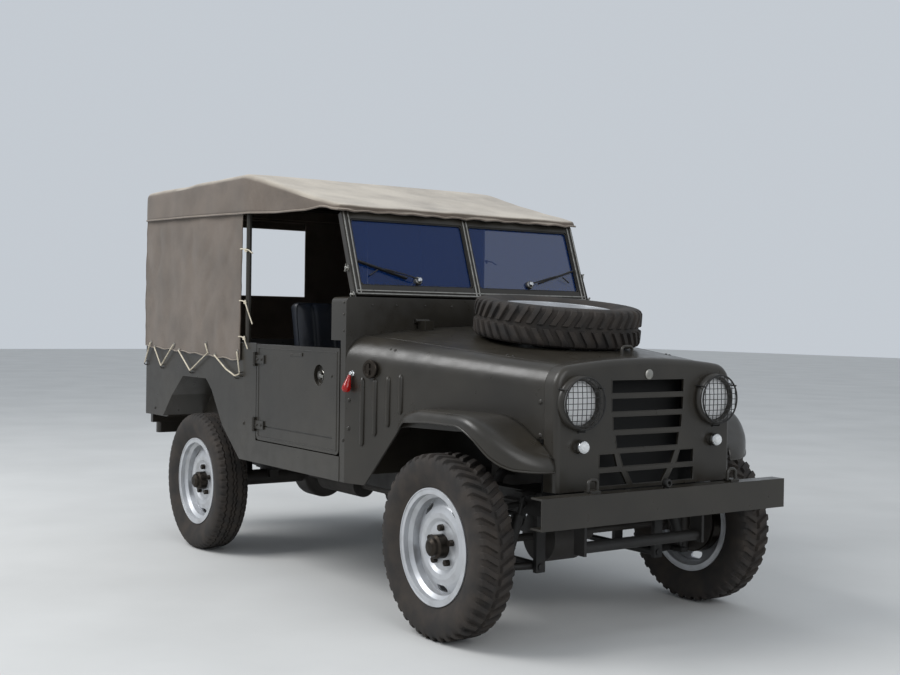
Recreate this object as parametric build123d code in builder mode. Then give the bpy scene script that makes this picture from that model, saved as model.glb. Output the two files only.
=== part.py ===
from build123d import *
import os
from collections import namedtuple
from math import asin, cos, radians, sin

os.makedirs("parts", exist_ok=True)

# Stance: x forward, y to the vehicle's left, z up from the ground
WHEELBASE = 2200.0
TRACK = 1340.0
FRONT_AXLE_X = 1242.0
REAR_AXLE_X = FRONT_AXLE_X - WHEELBASE
FIT = 0.3

# Tyres and wheels
TYRE_R = 350.0
TYRE_HALF = 82.5
AXLE_Z = TYRE_R
BEAD_R = 203.0
FLANGE_R = 222.0
RIM_HALF = 57.0
RIM_T = 5.0
DISC_OUT = 14.0
DISC_T = 6.0
WHEEL_WINDOWS = 5
WINDOW_R = 160.0
STUD_PITCH_R = 70.0
STUD_R = 6.5
NUT_R = 13.0
HUB_R = 45.5
DRUM_R = 140.0
DRUM_IN = 40.0
SPINDLE_R = 24.7
SPINDLE_END = 55.0
KINGPIN_OFFSET = 85.0
KINGPIN_Y = TRACK / 2 - KINGPIN_OFFSET

# Chassis frame
RAIL_IN = 280.0
RAIL_OUT = 340.0
RAIL_MID = (RAIL_IN + RAIL_OUT) / 2
RAIL_LOW = 430.0
RAIL_TOP = 520.0
NOSE_LOW = 455.0
NOSE_TOP = 545.0
TAIL_LOW = 535.0
TAIL_TOP = 625.0
BUMPER_FACE_X = 1760.0
BUMPER_DEPTH = 64.0
BUMPER_HALF = 624.0
BUMPER_LOW = 472.0
BUMPER_TOP = 586.0
BUMPER_T = 7.0
RAIL_END_X = BUMPER_FACE_X - BUMPER_T
RAIL_REAR_X = -1650.0
REAR_FACE_X = -1760.0
TOW_Z = 575.0
TOW_R = 20.0

# Front suspension and steering
LOWER_Z = 255.0
UPPER_Z = 495.0
LOWER_PIVOT_Y = 312.0
UPPER_PIVOT_Y = RAIL_OUT + 14.0 + FIT
LOWER_BALL_Z = 250.0
UPPER_BALL_Z = 456.0
BALL_HALF = 20.0
PIN_R = 12.0
STEER_ARM = 180.0
ARM_Z = 400.0
ROD_Z = 425.0
PITMAN_Y = 198.0
FRONT_DIFF_Y = -140.0
DIFF_R = 104.0

# Body tub
BODY_HALF = 720.0
WALL = 30.0
SILL_LOW = 512.0
SILL_TOP = 618.0
DOOR_GAP = 5.0
DOOR_REAR_X = -288.0
DOOR_FRONT_X = 512.0
BODY_TOP = 1080.0
BODY_REAR_X = -1700.0
REAR_LOW = 650.0
FLOOR_Z = 556.0
FLOOR_T = 14.0
STEP_X = -335.0
LOAD_Z = 646.0
WHEELHOUSE_Y = 470.0
TAILGATE_HALF = 534.0
ARCH = ((-466, 480), (-466, 512), (-668, 661), (-800, 832), (-871, 886), (-1171, 886),
        (-1320, 775), (-1445, 655), (-1445, 480))

# Scuttle, bonnet and front panel
SCUTTLE_X = 555.0
SCUTTLE_TOP = 1295.0
DASH_X = 430.0
PANEL_X = 1624.0
PANEL_DEPTH = 70.0
PANEL_BACK_X = PANEL_X - PANEL_DEPTH
PANEL_LOW = 578.0
PANEL_ROUND = 24.0
PANEL_T = 12.0
LID_T = 12.0
LID_GAP = 3.0
LID_REAR_GAP = 11.0
SIDE_T = 8.0
LAMP_Y = 350.0
LAMP_Z = 905.0
LAMP_R = 101.0
PARK_Y = 346.0
PARK_Z = 744.0
SLOT_TOP = 987.0
SLOT_PITCH = 69.0
SLOT_H = 51.0
Section = namedtuple("Section", "side shoulder lid edge crown")
SCUTTLE_SECTION = Section(718.0, 1020.0, 612.0, 1134.0, 1178.0)
PANEL_SECTION = Section(455.0, 960.0, 382.0, 1044.0, 1069.0)
Slot = namedtuple("Slot", "row inner_top inner_low outer_top outer_low")
SLOTS = (
    Slot(0, -188, -188, 188, 188),
    Slot(1, -187, -186, 187, 186),
    Slot(2, -181, -178, 181, 178),
    Slot(3, -167, -160, 167, 160),
    Slot(4, -147, -126, 147, 126),
    Slot(5, -108, -76, 108, 76),
    Slot(4, 170, 152, 246, 246),
    Slot(5, 134, 102, 246, 246),
    Slot(4, -246, -246, -170, -152),
    Slot(5, -246, -246, -134, -102),
)

# Front wings
WING_TOP = 835.0
WING_OUT = 698.0
WING_FRONT_X = 1570.0
WING_REAR_X = 846.0
WING_WIDE_X = 1080.0
WING_CORNER = 120.0
WING_NOSE = 170.0
WING_T = 6.0
WING_IN = 380.0
WING_LOW = 600.0
WING_ROLL = 40.0

# Windscreen
SCREEN_X = 498.0
SCREEN_Z = 1300.0
SCREEN_RAKE = 20.0
SCREEN_HALF = 650.0
SCREEN_RISE = 395.0
SCREEN_T = 28.0
SCREEN_BAR = 38.0
SCREEN_SILL = 46.0

# Canvas hood
HOOD_HALF = BODY_HALF + 15.0
HOOD_FRONT_HALF = 672.0
HOOD_FRONT_X = 396.0
HOOD_BOW_X = -425.0
HOOD_REAR_X = -1708.0
HOOD_FRONT_Z = 1697.0
HOOD_BOW_Z = 1868.0
HOOD_REAR_Z = 1884.0
HOOD_T = 6.0
HOOD_ROLL = 50.0
BOW_R = 13.0
BOW_Y = 700.0

# Hinges
HINGE_R = 9.0
HINGE_PIN = 5.0
DOOR_HINGE_X = DOOR_REAR_X - 5.0
DOOR_HINGE_Y = BODY_HALF + 9.0
DOOR_HINGES = ((675.0, 715.0), (985.0, 1025.0))
BONNET_HINGE_X = SCUTTLE_X + 12.0
BONNET_HINGE_Z = 1196.0
TAIL_HINGE_X = BODY_REAR_X - 12.0
TAIL_HINGE_Z = 652.0
TAIL_HINGES = (-350.0, 350.0)
BONNET_HINGES = (-345.0, 345.0)


def save(piece, name):
    """Labels a finished piece and writes it."""
    piece.part.label = name
    export_step(piece.part, f"parts/{name}.step")


def block(x, y, z, mode=Mode.ADD):
    """A block between pairs of x, y and z values."""
    with Locations(((x[0] + x[1]) / 2, (y[0] + y[1]) / 2, (z[0] + z[1]) / 2)):
        Box(abs(x[1] - x[0]), abs(y[1] - y[0]), abs(z[1] - z[0]), mode=mode)


def rod(start, end, radius, mode=Mode.ADD):
    """A round bar from one point to another."""
    axis = Vector(end) - Vector(start)
    with BuildSketch(Plane(origin=start, z_dir=axis)) as end_face:
        Circle(radius)
    extrude(end_face.sketch, amount=axis.length, mode=mode)


def slab(points, y, mode=Mode.ADD):
    """A slab with an outline of (x, z) points, between two y values."""
    with BuildSketch(Plane.XZ.offset(-y[0])) as outline:
        with BuildLine():
            Polyline(*points, close=True)
        make_face()
    extrude(outline.sketch, amount=y[0] - y[1], mode=mode)


def tube(points, bend, radius):
    """A round tube along a line of points with bent corners."""
    with BuildLine() as path:
        FilletPolyline(*points, radius=bend)
    with BuildSketch(Plane(origin=path.wire() @ 0, z_dir=path.wire() % 0)) as end_face:
        Circle(radius)
    sweep(end_face.sketch, path=path.wire())


def barrel(start, end):
    """The rolled eye of a hinge leaf, bored for its pin."""
    rod(start, end, HINGE_R)
    rod(start, end, HINGE_PIN + FIT, mode=Mode.SUBTRACT)


def pin(start, end, lug):
    """A hinge pin through a rolled eye, with a lug at each end of it."""
    along = (Vector(end) - Vector(start)).normalized()
    low = Vector(start) - along * FIT
    high = Vector(end) + along * FIT
    rod(low - along * lug, high + along * lug, HINGE_PIN)
    rod(low - along * lug, low, HINGE_R)
    rod(high, high + along * lug, HINGE_R)


def fit(part, place, name):
    """Saves a copy of a finished part at its place."""
    with BuildPart() as fitted:
        with Locations(place):
            add(part)
    save(fitted, name)


def opposite(piece, name):
    """Saves the left-hand copy of a right-hand piece."""
    with BuildPart() as other:
        add(piece.part)
        mirror(about=Plane.XZ, mode=Mode.REPLACE)
    save(other, name)


def section_at(x):
    """The cross-section of the bonnet between the scuttle and the front panel."""
    share = (x - SCUTTLE_X) / (PANEL_BACK_X - SCUTTLE_X)
    pairs = zip(SCUTTLE_SECTION, PANEL_SECTION)
    return Section(*[rear + share * (front - rear) for rear, front in pairs])


def crown_at(x):
    """The height of the bonnet's middle line."""
    return section_at(x).crown


SIDE_SLOPE = (SCUTTLE_SECTION.side - PANEL_SECTION.side) / (PANEL_BACK_X - SCUTTLE_X)
BONNET_SLOPE = (SCUTTLE_SECTION.crown - PANEL_SECTION.crown) / (PANEL_BACK_X - SCUTTLE_X)

# Tyre, wheel and hub, made round the y axis with the outer face towards -y
TYRE_PROFILE = (
    (BEAD_R + FIT, RIM_HALF - 0.5),
    (FLANGE_R + 1, RIM_HALF - 0.5),
    (FLANGE_R + 18, TYRE_HALF - 9),
    (TYRE_R - 76, TYRE_HALF - 1),
    (TYRE_R - 46, TYRE_HALF),
    (TYRE_R - 18, TYRE_HALF - 6),
    (TYRE_R - 4, TYRE_HALF - 20),
    (TYRE_R, TYRE_HALF - 44),
)
with BuildPart() as tyre:
    with BuildSketch(Plane.XY):
        with BuildLine():
            far = [(r, -a) for r, a in TYRE_PROFILE]
            Polyline(*TYRE_PROFILE, *reversed(far), close=True)
        make_face()
    revolve(axis=Axis.Y)

RIM_PROFILE = (
    (FLANGE_R, RIM_HALF + 6), (FLANGE_R, RIM_HALF), (BEAD_R, RIM_HALF), (BEAD_R, 38), (188, 26),
)
with BuildPart() as wheel:
    with BuildSketch(Plane.XY):
        with BuildLine():
            near = [(r, -a) for r, a in RIM_PROFILE]
            inner = [(188 - RIM_T, 28), (BEAD_R - RIM_T, 40), (BEAD_R - RIM_T, RIM_HALF + 4),
                     (FLANGE_R - RIM_T, RIM_HALF + 4), (FLANGE_R - RIM_T, RIM_HALF + 6)]
            inner_near = [(r, -a) for r, a in inner]
            Polyline(*RIM_PROFILE, *reversed(near), *reversed(inner_near), *inner, close=True)
        make_face()
    revolve(axis=Axis.Y)
    with BuildSketch(Plane.XY):
        with BuildLine():
            Polyline(
                (185, 10), (185, 2), (150, -18), (125, -26), (106, -23), (92, -DISC_OUT),
                (HUB_R + 0.5, -DISC_OUT), (HUB_R + 0.5, DISC_T - DISC_OUT), (92, DISC_T - DISC_OUT),
                (109, -17), (125, -20), (148, -11), (180, 10), close=True,
            )
        make_face()
    revolve(axis=Axis.Y)
    with BuildSketch(Plane.XZ.offset(40)):
        with PolarLocations(WINDOW_R, WHEEL_WINDOWS, start_angle=90 + 36):
            SlotOverall(62, 27, rotation=90)
        with PolarLocations(STUD_PITCH_R, WHEEL_WINDOWS, start_angle=90):
            Circle(STUD_R + 0.5)
    extrude(amount=-60, mode=Mode.SUBTRACT)

with BuildPart() as hub:
    with BuildSketch(Plane.XY):
        with BuildLine():
            Polyline(
                (SPINDLE_R + FIT, DRUM_IN), (HUB_R, DRUM_IN), (HUB_R, 2), (DRUM_R - 10, 2),
                (DRUM_R - 10, DRUM_IN), (DRUM_R, DRUM_IN), (DRUM_R, DISC_T - DISC_OUT + 3),
                (DRUM_R - 14, DISC_T - DISC_OUT), (HUB_R, DISC_T - DISC_OUT), (HUB_R, -50),
                (36, -56), (34, -68), (22, -76), (0, -78), (0, -SPINDLE_END - 5),
                (SPINDLE_R + FIT, -SPINDLE_END - 5), close=True,
            )
        make_face()
    revolve(axis=Axis.Y)
    with BuildSketch(Plane.XZ.offset(8)):
        with PolarLocations(STUD_PITCH_R, WHEEL_WINDOWS, start_angle=90):
            Circle(STUD_R)
    extrude(amount=22)
    with BuildSketch(Plane.XZ.offset(DISC_OUT)):
        with PolarLocations(STUD_PITCH_R, WHEEL_WINDOWS, start_angle=90):
            RegularPolygon(NUT_R, 6)
    extrude(amount=18)

Corner = namedtuple("Corner", "name x y turn")
CORNERS = (
    Corner("front_right", FRONT_AXLE_X, -TRACK / 2, 0),
    Corner("front_left", FRONT_AXLE_X, TRACK / 2, 180),
    Corner("rear_right", REAR_AXLE_X, -TRACK / 2, 0),
    Corner("rear_left", REAR_AXLE_X, TRACK / 2, 180),
)
for corner in CORNERS:
    stands = Location((corner.x, corner.y, AXLE_Z), (0, 0, corner.turn))
    fit(tyre.part, stands, f"tyre_{corner.name}")
    fit(wheel.part, stands, f"wheel_{corner.name}")
    fit(hub.part, stands, f"hub_{corner.name}")

# Ladder frame with its brackets
RAIL = (
    (RAIL_END_X, NOSE_TOP), (1000, NOSE_TOP), (820, RAIL_TOP), (-350, RAIL_TOP), (-560, TAIL_TOP),
    (RAIL_REAR_X, TAIL_TOP), (RAIL_REAR_X, TAIL_LOW), (-580, TAIL_LOW), (-370, RAIL_LOW), (800, RAIL_LOW),
    (980, NOSE_LOW), (1600, NOSE_LOW), (1640, BUMPER_LOW + BUMPER_T + 3), (RAIL_END_X, BUMPER_LOW + BUMPER_T + 3),
)
TORSION_END_X = 460.0
PIVOT_X = 110.0
BRACKET = 20.0
BRACKET_IN = 290.0
BRACKET_OUT = 334.0
NOSE_TUBE_X = 1592.0
NOSE_TUBE_HALF = 300.0
SPRING_HALF = 480.0
SPRING_EYE_Z = 462.0
SPRING_EYE_R = 15.0
SHACKLE_PIN = 8.0
DAMPER_X = FRONT_AXLE_X + 103
with BuildPart() as chassis_frame:
    slab(RAIL, (RAIL_IN, RAIL_OUT))
    for x in (FRONT_AXLE_X - PIVOT_X - BRACKET, FRONT_AXLE_X + PIVOT_X):
        block((x, x + BRACKET), (BRACKET_IN, BRACKET_OUT), (LOWER_Z - 22, NOSE_LOW + 5))
        rod((x - 1, LOWER_PIVOT_Y, LOWER_Z), (x + BRACKET + 1, LOWER_PIVOT_Y, LOWER_Z), 14, mode=Mode.SUBTRACT)
    block((TORSION_END_X - 60, TORSION_END_X), (BRACKET_IN, BRACKET_OUT), (LOWER_Z - 22, RAIL_LOW + 5))
    for x in (REAR_AXLE_X - SPRING_HALF, REAR_AXLE_X + SPRING_HALF):
        block((x - 20, x + 20), (RAIL_MID - 36, RAIL_MID - 26), (SPRING_EYE_Z - 22, TAIL_LOW + 5))
        block((x - 20, x + 20), (RAIL_MID + 26, RAIL_MID + 36), (SPRING_EYE_Z - 22, TAIL_LOW + 5))
        rod((x, RAIL_MID - 40, SPRING_EYE_Z), (x, RAIL_MID + 40, SPRING_EYE_Z), SHACKLE_PIN)
    block((DAMPER_X - 25, DAMPER_X + 25), (RAIL_OUT - 5, 405), (535, 550))
    block((-1145, -1095), (RAIL_OUT - 5, 395), (548, 563))
    block((NOSE_TUBE_X - 27, NOSE_TUBE_X + 33), (NOSE_TUBE_HALF, NOSE_TUBE_HALF + 12), (335, NOSE_LOW + 10))
    for x, top in ((420, RAIL_TOP), (-200, RAIL_TOP)):
        block((x - 40, x + 40), (RAIL_IN, RAIL_OUT), (top - 5, FLOOR_Z))
    for x in (-720, -1560):
        block((x - 40, x + 40), (RAIL_IN, RAIL_OUT), (TAIL_TOP - 5, LOAD_Z))
    mirror(about=Plane.XZ)
save(chassis_frame, "chassis_frame")

Cross = namedtuple("Cross", "rear front low top")
CROSS_MEMBERS = (
    Cross(1480, 1560, NOSE_LOW + 27, NOSE_TOP),
    Cross(FRONT_AXLE_X - 92, FRONT_AXLE_X + 92, NOSE_LOW, NOSE_TOP),
    Cross(-640, -600, TAIL_LOW + 10, TAIL_TOP - 5),
    Cross(-1560, -1500, TAIL_LOW + 10, TAIL_TOP - 5),
    Cross(RAIL_REAR_X, RAIL_REAR_X + 40, TAIL_LOW + 10, TAIL_TOP - 5),
)
with BuildPart() as cross_members:
    for c in CROSS_MEMBERS:
        block((c.rear, c.front), (-RAIL_IN, RAIL_IN), (c.low, c.top))
    block((TORSION_END_X - 60, TORSION_END_X), (-BRACKET_IN, BRACKET_IN), (310, 345))
    block((TORSION_END_X - 60, TORSION_END_X), (-60, 60), (345, 370))
    rod((NOSE_TUBE_X, -NOSE_TUBE_HALF, 362), (NOSE_TUBE_X, NOSE_TUBE_HALF, 362), 22)
    rod((RAIL_REAR_X - 1, 0, TOW_Z), (RAIL_REAR_X + 41, 0, TOW_Z), TOW_R, mode=Mode.SUBTRACT)
    rod((FRONT_AXLE_X, PITMAN_Y, NOSE_LOW - 1), (FRONT_AXLE_X, PITMAN_Y, NOSE_TOP + 1), 14 + FIT, mode=Mode.SUBTRACT)
save(cross_members, "cross_members")

TOW_Y = 360.0
with BuildPart() as front_bumper:
    slab(
        ((BUMPER_FACE_X, BUMPER_LOW), (BUMPER_FACE_X, BUMPER_TOP), (BUMPER_FACE_X - BUMPER_DEPTH, BUMPER_TOP),
         (BUMPER_FACE_X - BUMPER_DEPTH, BUMPER_TOP - BUMPER_T), (RAIL_END_X, BUMPER_TOP - BUMPER_T),
         (RAIL_END_X, BUMPER_LOW + BUMPER_T), (BUMPER_FACE_X - BUMPER_DEPTH, BUMPER_LOW + BUMPER_T),
         (BUMPER_FACE_X - BUMPER_DEPTH, BUMPER_LOW)),
        (-BUMPER_HALF, BUMPER_HALF),
    )
    for y in (-TOW_Y, TOW_Y):
        block((1700, 1740), (y - 22, y + 22), (BUMPER_TOP, BUMPER_TOP + 10))
        tube(((1720, y - 22, BUMPER_TOP + 4), (1720, y - 22, BUMPER_TOP + 48), (1720, y + 22, BUMPER_TOP + 48),
              (1720, y + 22, BUMPER_TOP + 4)), 18, 7)
save(front_bumper, "front_bumper")

with BuildPart() as rear_bumpers:
    block((REAR_FACE_X, REAR_FACE_X + 50), (290, 640), (536, 622))
    block((REAR_FACE_X + 50, RAIL_REAR_X), (RAIL_IN + 5, RAIL_OUT - 5), (560, 598))
    fillet(rear_bumpers.edges().filter_by(Axis.Z).sort_by(Axis.Y)[-2:], 20)
    mirror(about=Plane.XZ)
save(rear_bumpers, "rear_bumpers")

# Front suspension: wishbones with torsion bars, dampers, knuckles and steering links
with BuildPart() as wishbones:
    rod((FRONT_AXLE_X - PIVOT_X + FIT, LOWER_PIVOT_Y, LOWER_Z), (FRONT_AXLE_X + PIVOT_X - FIT, LOWER_PIVOT_Y, LOWER_Z), 18)
    rod((TORSION_END_X + FIT, LOWER_PIVOT_Y, LOWER_Z), (FRONT_AXLE_X + PIVOT_X + 24, LOWER_PIVOT_Y, LOWER_Z), 13)
    rod((FRONT_AXLE_X - 70, UPPER_PIVOT_Y, UPPER_Z), (FRONT_AXLE_X + 70, UPPER_PIVOT_Y, UPPER_Z), 14)
    for lean in (-1, 1):
        rod((FRONT_AXLE_X + lean * 92, LOWER_PIVOT_Y, LOWER_Z), (FRONT_AXLE_X, KINGPIN_Y, LOWER_BALL_Z), 15)
        rod((FRONT_AXLE_X + lean * 56, UPPER_PIVOT_Y, UPPER_Z), (FRONT_AXLE_X, KINGPIN_Y, UPPER_BALL_Z), 11)
    block((FRONT_AXLE_X - 40, DAMPER_X + 22), (452, 488), (240, 258))
    for z, r in ((LOWER_BALL_Z, 28), (UPPER_BALL_Z, 26)):
        rod((FRONT_AXLE_X, KINGPIN_Y, z - BALL_HALF), (FRONT_AXLE_X, KINGPIN_Y, z + BALL_HALF), r)
        rod((FRONT_AXLE_X, KINGPIN_Y, z - 40), (FRONT_AXLE_X, KINGPIN_Y, z + 40), PIN_R + FIT, mode=Mode.SUBTRACT)
    mirror(about=Plane.XZ)
save(wishbones, "wishbones")

with BuildPart() as dampers:
    rod((DAMPER_X, 470, 261.2), (DAMPER_X, 379, 530), 9)
    rod((DAMPER_X, 463, 283), (DAMPER_X, 402, 461), 22)
    rod((-1024, 400, 343), (-1120, 367, 543), 9)
    rod((-1032, 397, 360), (-1092, 376, 486), 23)
    mirror(about=Plane.XZ)
save(dampers, "dampers")

with BuildPart() as knuckle_right:
    side = -KINGPIN_Y
    low = LOWER_BALL_Z + BALL_HALF + FIT
    high = UPPER_BALL_Z - BALL_HALF - FIT
    rod((FRONT_AXLE_X, side, low), (FRONT_AXLE_X, side, high), 26)
    rod((FRONT_AXLE_X, side, LOWER_BALL_Z - BALL_HALF), (FRONT_AXLE_X, side, UPPER_BALL_Z + BALL_HALF), PIN_R)
    rod((FRONT_AXLE_X, side, AXLE_Z), (FRONT_AXLE_X, side - 40, AXLE_Z), 44)
    rod((FRONT_AXLE_X, side - 34, AXLE_Z), (FRONT_AXLE_X, side - 40, AXLE_Z), DRUM_R - 6)
    rod((FRONT_AXLE_X, side - 30, AXLE_Z), (FRONT_AXLE_X, side - KINGPIN_OFFSET - SPINDLE_END, AXLE_Z), SPINDLE_R)
    block((FRONT_AXLE_X - STEER_ARM, FRONT_AXLE_X), (side - 14, side + 14), (ARM_Z - 10, ARM_Z + 10))
    rod((FRONT_AXLE_X - STEER_ARM, side, ARM_Z - 10), (FRONT_AXLE_X - STEER_ARM, side, ARM_Z + 10), 16)
    rod((FRONT_AXLE_X - STEER_ARM, side, ARM_Z), (FRONT_AXLE_X - STEER_ARM, side, ROD_Z + 14), 8)
save(knuckle_right, "knuckle_right")
opposite(knuckle_right, "knuckle_left")

with BuildPart() as track_rod:
    x = FRONT_AXLE_X - STEER_ARM
    rod((x, -KINGPIN_Y, ROD_Z), (x, KINGPIN_Y, ROD_Z), 11)
    for y in (-KINGPIN_Y, PITMAN_Y, KINGPIN_Y):
        rod((x, y, ARM_Z + 10 + FIT), (x, y, ROD_Z + 12), 15)
        rod((x, y, ARM_Z), (x, y, ROD_Z + 30), 8 + FIT, mode=Mode.SUBTRACT)
save(track_rod, "track_rod")

with BuildPart() as pitman_arm:
    rod((FRONT_AXLE_X, PITMAN_Y, ARM_Z - 10), (FRONT_AXLE_X, PITMAN_Y, NOSE_TOP - 5), 14)
    rod((FRONT_AXLE_X, PITMAN_Y, ARM_Z - 10), (FRONT_AXLE_X, PITMAN_Y, ARM_Z + 10), 24)
    block((FRONT_AXLE_X - STEER_ARM, FRONT_AXLE_X), (PITMAN_Y - 13, PITMAN_Y + 13), (ARM_Z - 10, ARM_Z + 10))
    rod((FRONT_AXLE_X - STEER_ARM, PITMAN_Y, ARM_Z - 10), (FRONT_AXLE_X - STEER_ARM, PITMAN_Y, ARM_Z + 10), 19)
    rod((FRONT_AXLE_X - STEER_ARM, PITMAN_Y, ARM_Z), (FRONT_AXLE_X - STEER_ARM, PITMAN_Y, ROD_Z + 14), 8)
save(pitman_arm, "pitman_arm")

COLUMN_LOW = Vector(1180, PITMAN_Y + 6, 620)
COLUMN_TOP = Vector(320, 345, 1080)
COLUMN_R = 18.0
COLUMN_DIR = (COLUMN_TOP - COLUMN_LOW).normalized()
with BuildPart() as steering_column:
    block((FRONT_AXLE_X - 62, FRONT_AXLE_X + 40), (PITMAN_Y - 45, PITMAN_Y + 42), (NOSE_TOP, 650))
    rod(COLUMN_LOW, COLUMN_TOP, COLUMN_R)
    rod(COLUMN_TOP - COLUMN_DIR * 60, COLUMN_TOP, 9 + FIT, mode=Mode.SUBTRACT)
save(steering_column, "steering_column")

WHEEL_RING = 200.0
with BuildPart() as steering_wheel:
    rod(COLUMN_TOP - COLUMN_DIR * 50, COLUMN_TOP + COLUMN_DIR * 10, 9)
    rod(COLUMN_TOP + COLUMN_DIR * 6, COLUMN_TOP + COLUMN_DIR * 50, 28)
    ring = Plane(origin=COLUMN_TOP + COLUMN_DIR * 60, x_dir=(0, 1, 0), z_dir=COLUMN_DIR)
    with BuildSketch(Plane(origin=ring.origin, x_dir=ring.x_dir, z_dir=-ring.y_dir)):
        with Locations((WHEEL_RING, 0)):
            Circle(11)
    revolve(axis=Axis(ring.origin, ring.z_dir))
    for turn in (90, 210, 330):
        out = ring.x_dir * cos(radians(turn)) + ring.y_dir * sin(radians(turn))
        rod(ring.origin - COLUMN_DIR * 20, ring.origin + out * WHEEL_RING, 8)
save(steering_wheel, "steering_wheel")

# Driveline
with BuildPart() as front_axle:
    rod((FRONT_AXLE_X, FRONT_DIFF_Y - 80, AXLE_Z), (FRONT_AXLE_X, FRONT_DIFF_Y + 80, AXLE_Z), DIFF_R)
    block((FRONT_AXLE_X - 50, FRONT_AXLE_X + 50), (FRONT_DIFF_Y - 60, FRONT_DIFF_Y + 60), (AXLE_Z + 60, NOSE_LOW))
    rod((FRONT_AXLE_X - 60, FRONT_DIFF_Y, AXLE_Z), (FRONT_AXLE_X - 150, FRONT_DIFF_Y, AXLE_Z), 42)
    rod((FRONT_AXLE_X, -540, AXLE_Z), (FRONT_AXLE_X, 540, AXLE_Z), 15)
    for y in (-500, 0, 500):
        rod((FRONT_AXLE_X, y - 40, AXLE_Z), (FRONT_AXLE_X, y + 40, AXLE_Z), 34)
save(front_axle, "front_axle")

with BuildPart() as rear_axle:
    rod((REAR_AXLE_X, 40 - TRACK / 2, AXLE_Z), (REAR_AXLE_X, TRACK / 2 - 40, AXLE_Z), 40)
    rod((REAR_AXLE_X - 95, 0, AXLE_Z), (REAR_AXLE_X + 95, 0, AXLE_Z), 125)
    fillet(rear_axle.edges().filter_by(GeomType.CIRCLE).filter_by(lambda e: abs(e.radius - 125) < 0.1), 40)
    rod((REAR_AXLE_X, 0, AXLE_Z), (REAR_AXLE_X + 140, 0, AXLE_Z), 42)
    for side in (-1, 1):
        rod((REAR_AXLE_X, side * (TRACK / 2 - 51), AXLE_Z), (REAR_AXLE_X, side * (TRACK / 2 - 45), AXLE_Z), DRUM_R - 6)
        rod((REAR_AXLE_X, side * (TRACK / 2 - 70), AXLE_Z), (REAR_AXLE_X, side * (TRACK / 2 + SPINDLE_END), AXLE_Z), SPINDLE_R)
        block((REAR_AXLE_X - 60, REAR_AXLE_X + 60), (side * (RAIL_MID - 25), side * (RAIL_MID + 25)), (AXLE_Z, AXLE_Z + 40))
        block((-1042, REAR_AXLE_X), (side * 385, side * 415), (AXLE_Z - 30, AXLE_Z - 12))
save(rear_axle, "rear_axle")

SPRING_SAG = 30.0
LEAF_T = 6.0
LEAVES = 7
SPRING_LEAF_Z = AXLE_Z + 40 + LEAVES * LEAF_T
SPRING_R = (SPRING_HALF ** 2 + SPRING_SAG ** 2) / (2 * SPRING_SAG)
with BuildPart() as leaf_springs:
    for leaf in range(LEAVES):
        reach = (SPRING_HALF - 62 * leaf) / SPRING_R
        ends = [(REAR_AXLE_X + r * sin(a), SPRING_LEAF_Z + SPRING_R - r * cos(a))
                for r in (SPRING_R + LEAF_T * leaf, SPRING_R + LEAF_T * (leaf + 1)) for a in (-reach, 0, reach)]
        with BuildSketch(Plane.XZ.offset(-(RAIL_MID - 25))):
            with BuildLine():
                ThreePointArc(*ends[:3])
                Line(ends[2], ends[5])
                ThreePointArc(*ends[3:])
                Line(ends[3], ends[0])
            make_face()
        extrude(amount=-50)
    for x in (REAR_AXLE_X - SPRING_HALF, REAR_AXLE_X + SPRING_HALF):
        rod((x, RAIL_MID - 25, SPRING_EYE_Z), (x, RAIL_MID + 25, SPRING_EYE_Z), SPRING_EYE_R)
        rod((x, RAIL_MID - 30, SPRING_EYE_Z), (x, RAIL_MID + 30, SPRING_EYE_Z), SHACKLE_PIN + FIT, mode=Mode.SUBTRACT)
    mirror(about=Plane.XZ)
save(leaf_springs, "leaf_springs")

with BuildPart() as powertrain:
    block((830, 1390), (-150, 150), (NOSE_TOP, 960))
    block((860, 1100), (-110, 110), (440, NOSE_TOP))
    block((TORSION_END_X - 110, 870), (-100, 100), (370, 540))
    block((90, 350), (-180, 120), (330, 540))
save(powertrain, "powertrain")

with BuildPart() as propshafts:
    rod((FRONT_AXLE_X - 150, FRONT_DIFF_Y, AXLE_Z), (350, FRONT_DIFF_Y, 384), 21)
    rod((90, 0, 402), (REAR_AXLE_X + 140, 0, AXLE_Z + 2), 26)
    block((340, 360), (FRONT_DIFF_Y - 60, FRONT_DIFF_Y + 60), (300, 460), mode=Mode.SUBTRACT)
    block((FRONT_AXLE_X - 150, FRONT_AXLE_X - 140), (FRONT_DIFF_Y - 60, FRONT_DIFF_Y + 60), (300, 460), mode=Mode.SUBTRACT)
    block((80, 100), (-60, 60), (330, 480), mode=Mode.SUBTRACT)
    block((REAR_AXLE_X + 130, REAR_AXLE_X + 140), (-60, 60), (300, 480), mode=Mode.SUBTRACT)
save(propshafts, "propshafts")

with BuildPart() as radiator:
    block((1490, 1545), (-245, 245), (NOSE_TOP, 1010))
save(radiator, "radiator")

with BuildPart() as fuel_tank:
    block((-1480, -1140), (-262, 262), (470, LOAD_Z))
    fillet(fuel_tank.edges().filter_by(Axis.Y), 30)
save(fuel_tank, "fuel_tank")

EXHAUST_Y = -215.0
with BuildPart() as exhaust:
    tube(((980, -150, 580), (980, EXHAUST_Y, 580), (900, EXHAUST_Y, 395), (-120, EXHAUST_Y, 395)), 28, 21)
    rod((-120, EXHAUST_Y, 395), (-480, EXHAUST_Y, 395), 62)
    rod((-480, EXHAUST_Y, 395), (-660, EXHAUST_Y, 395), 21)
save(exhaust, "exhaust")

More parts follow.
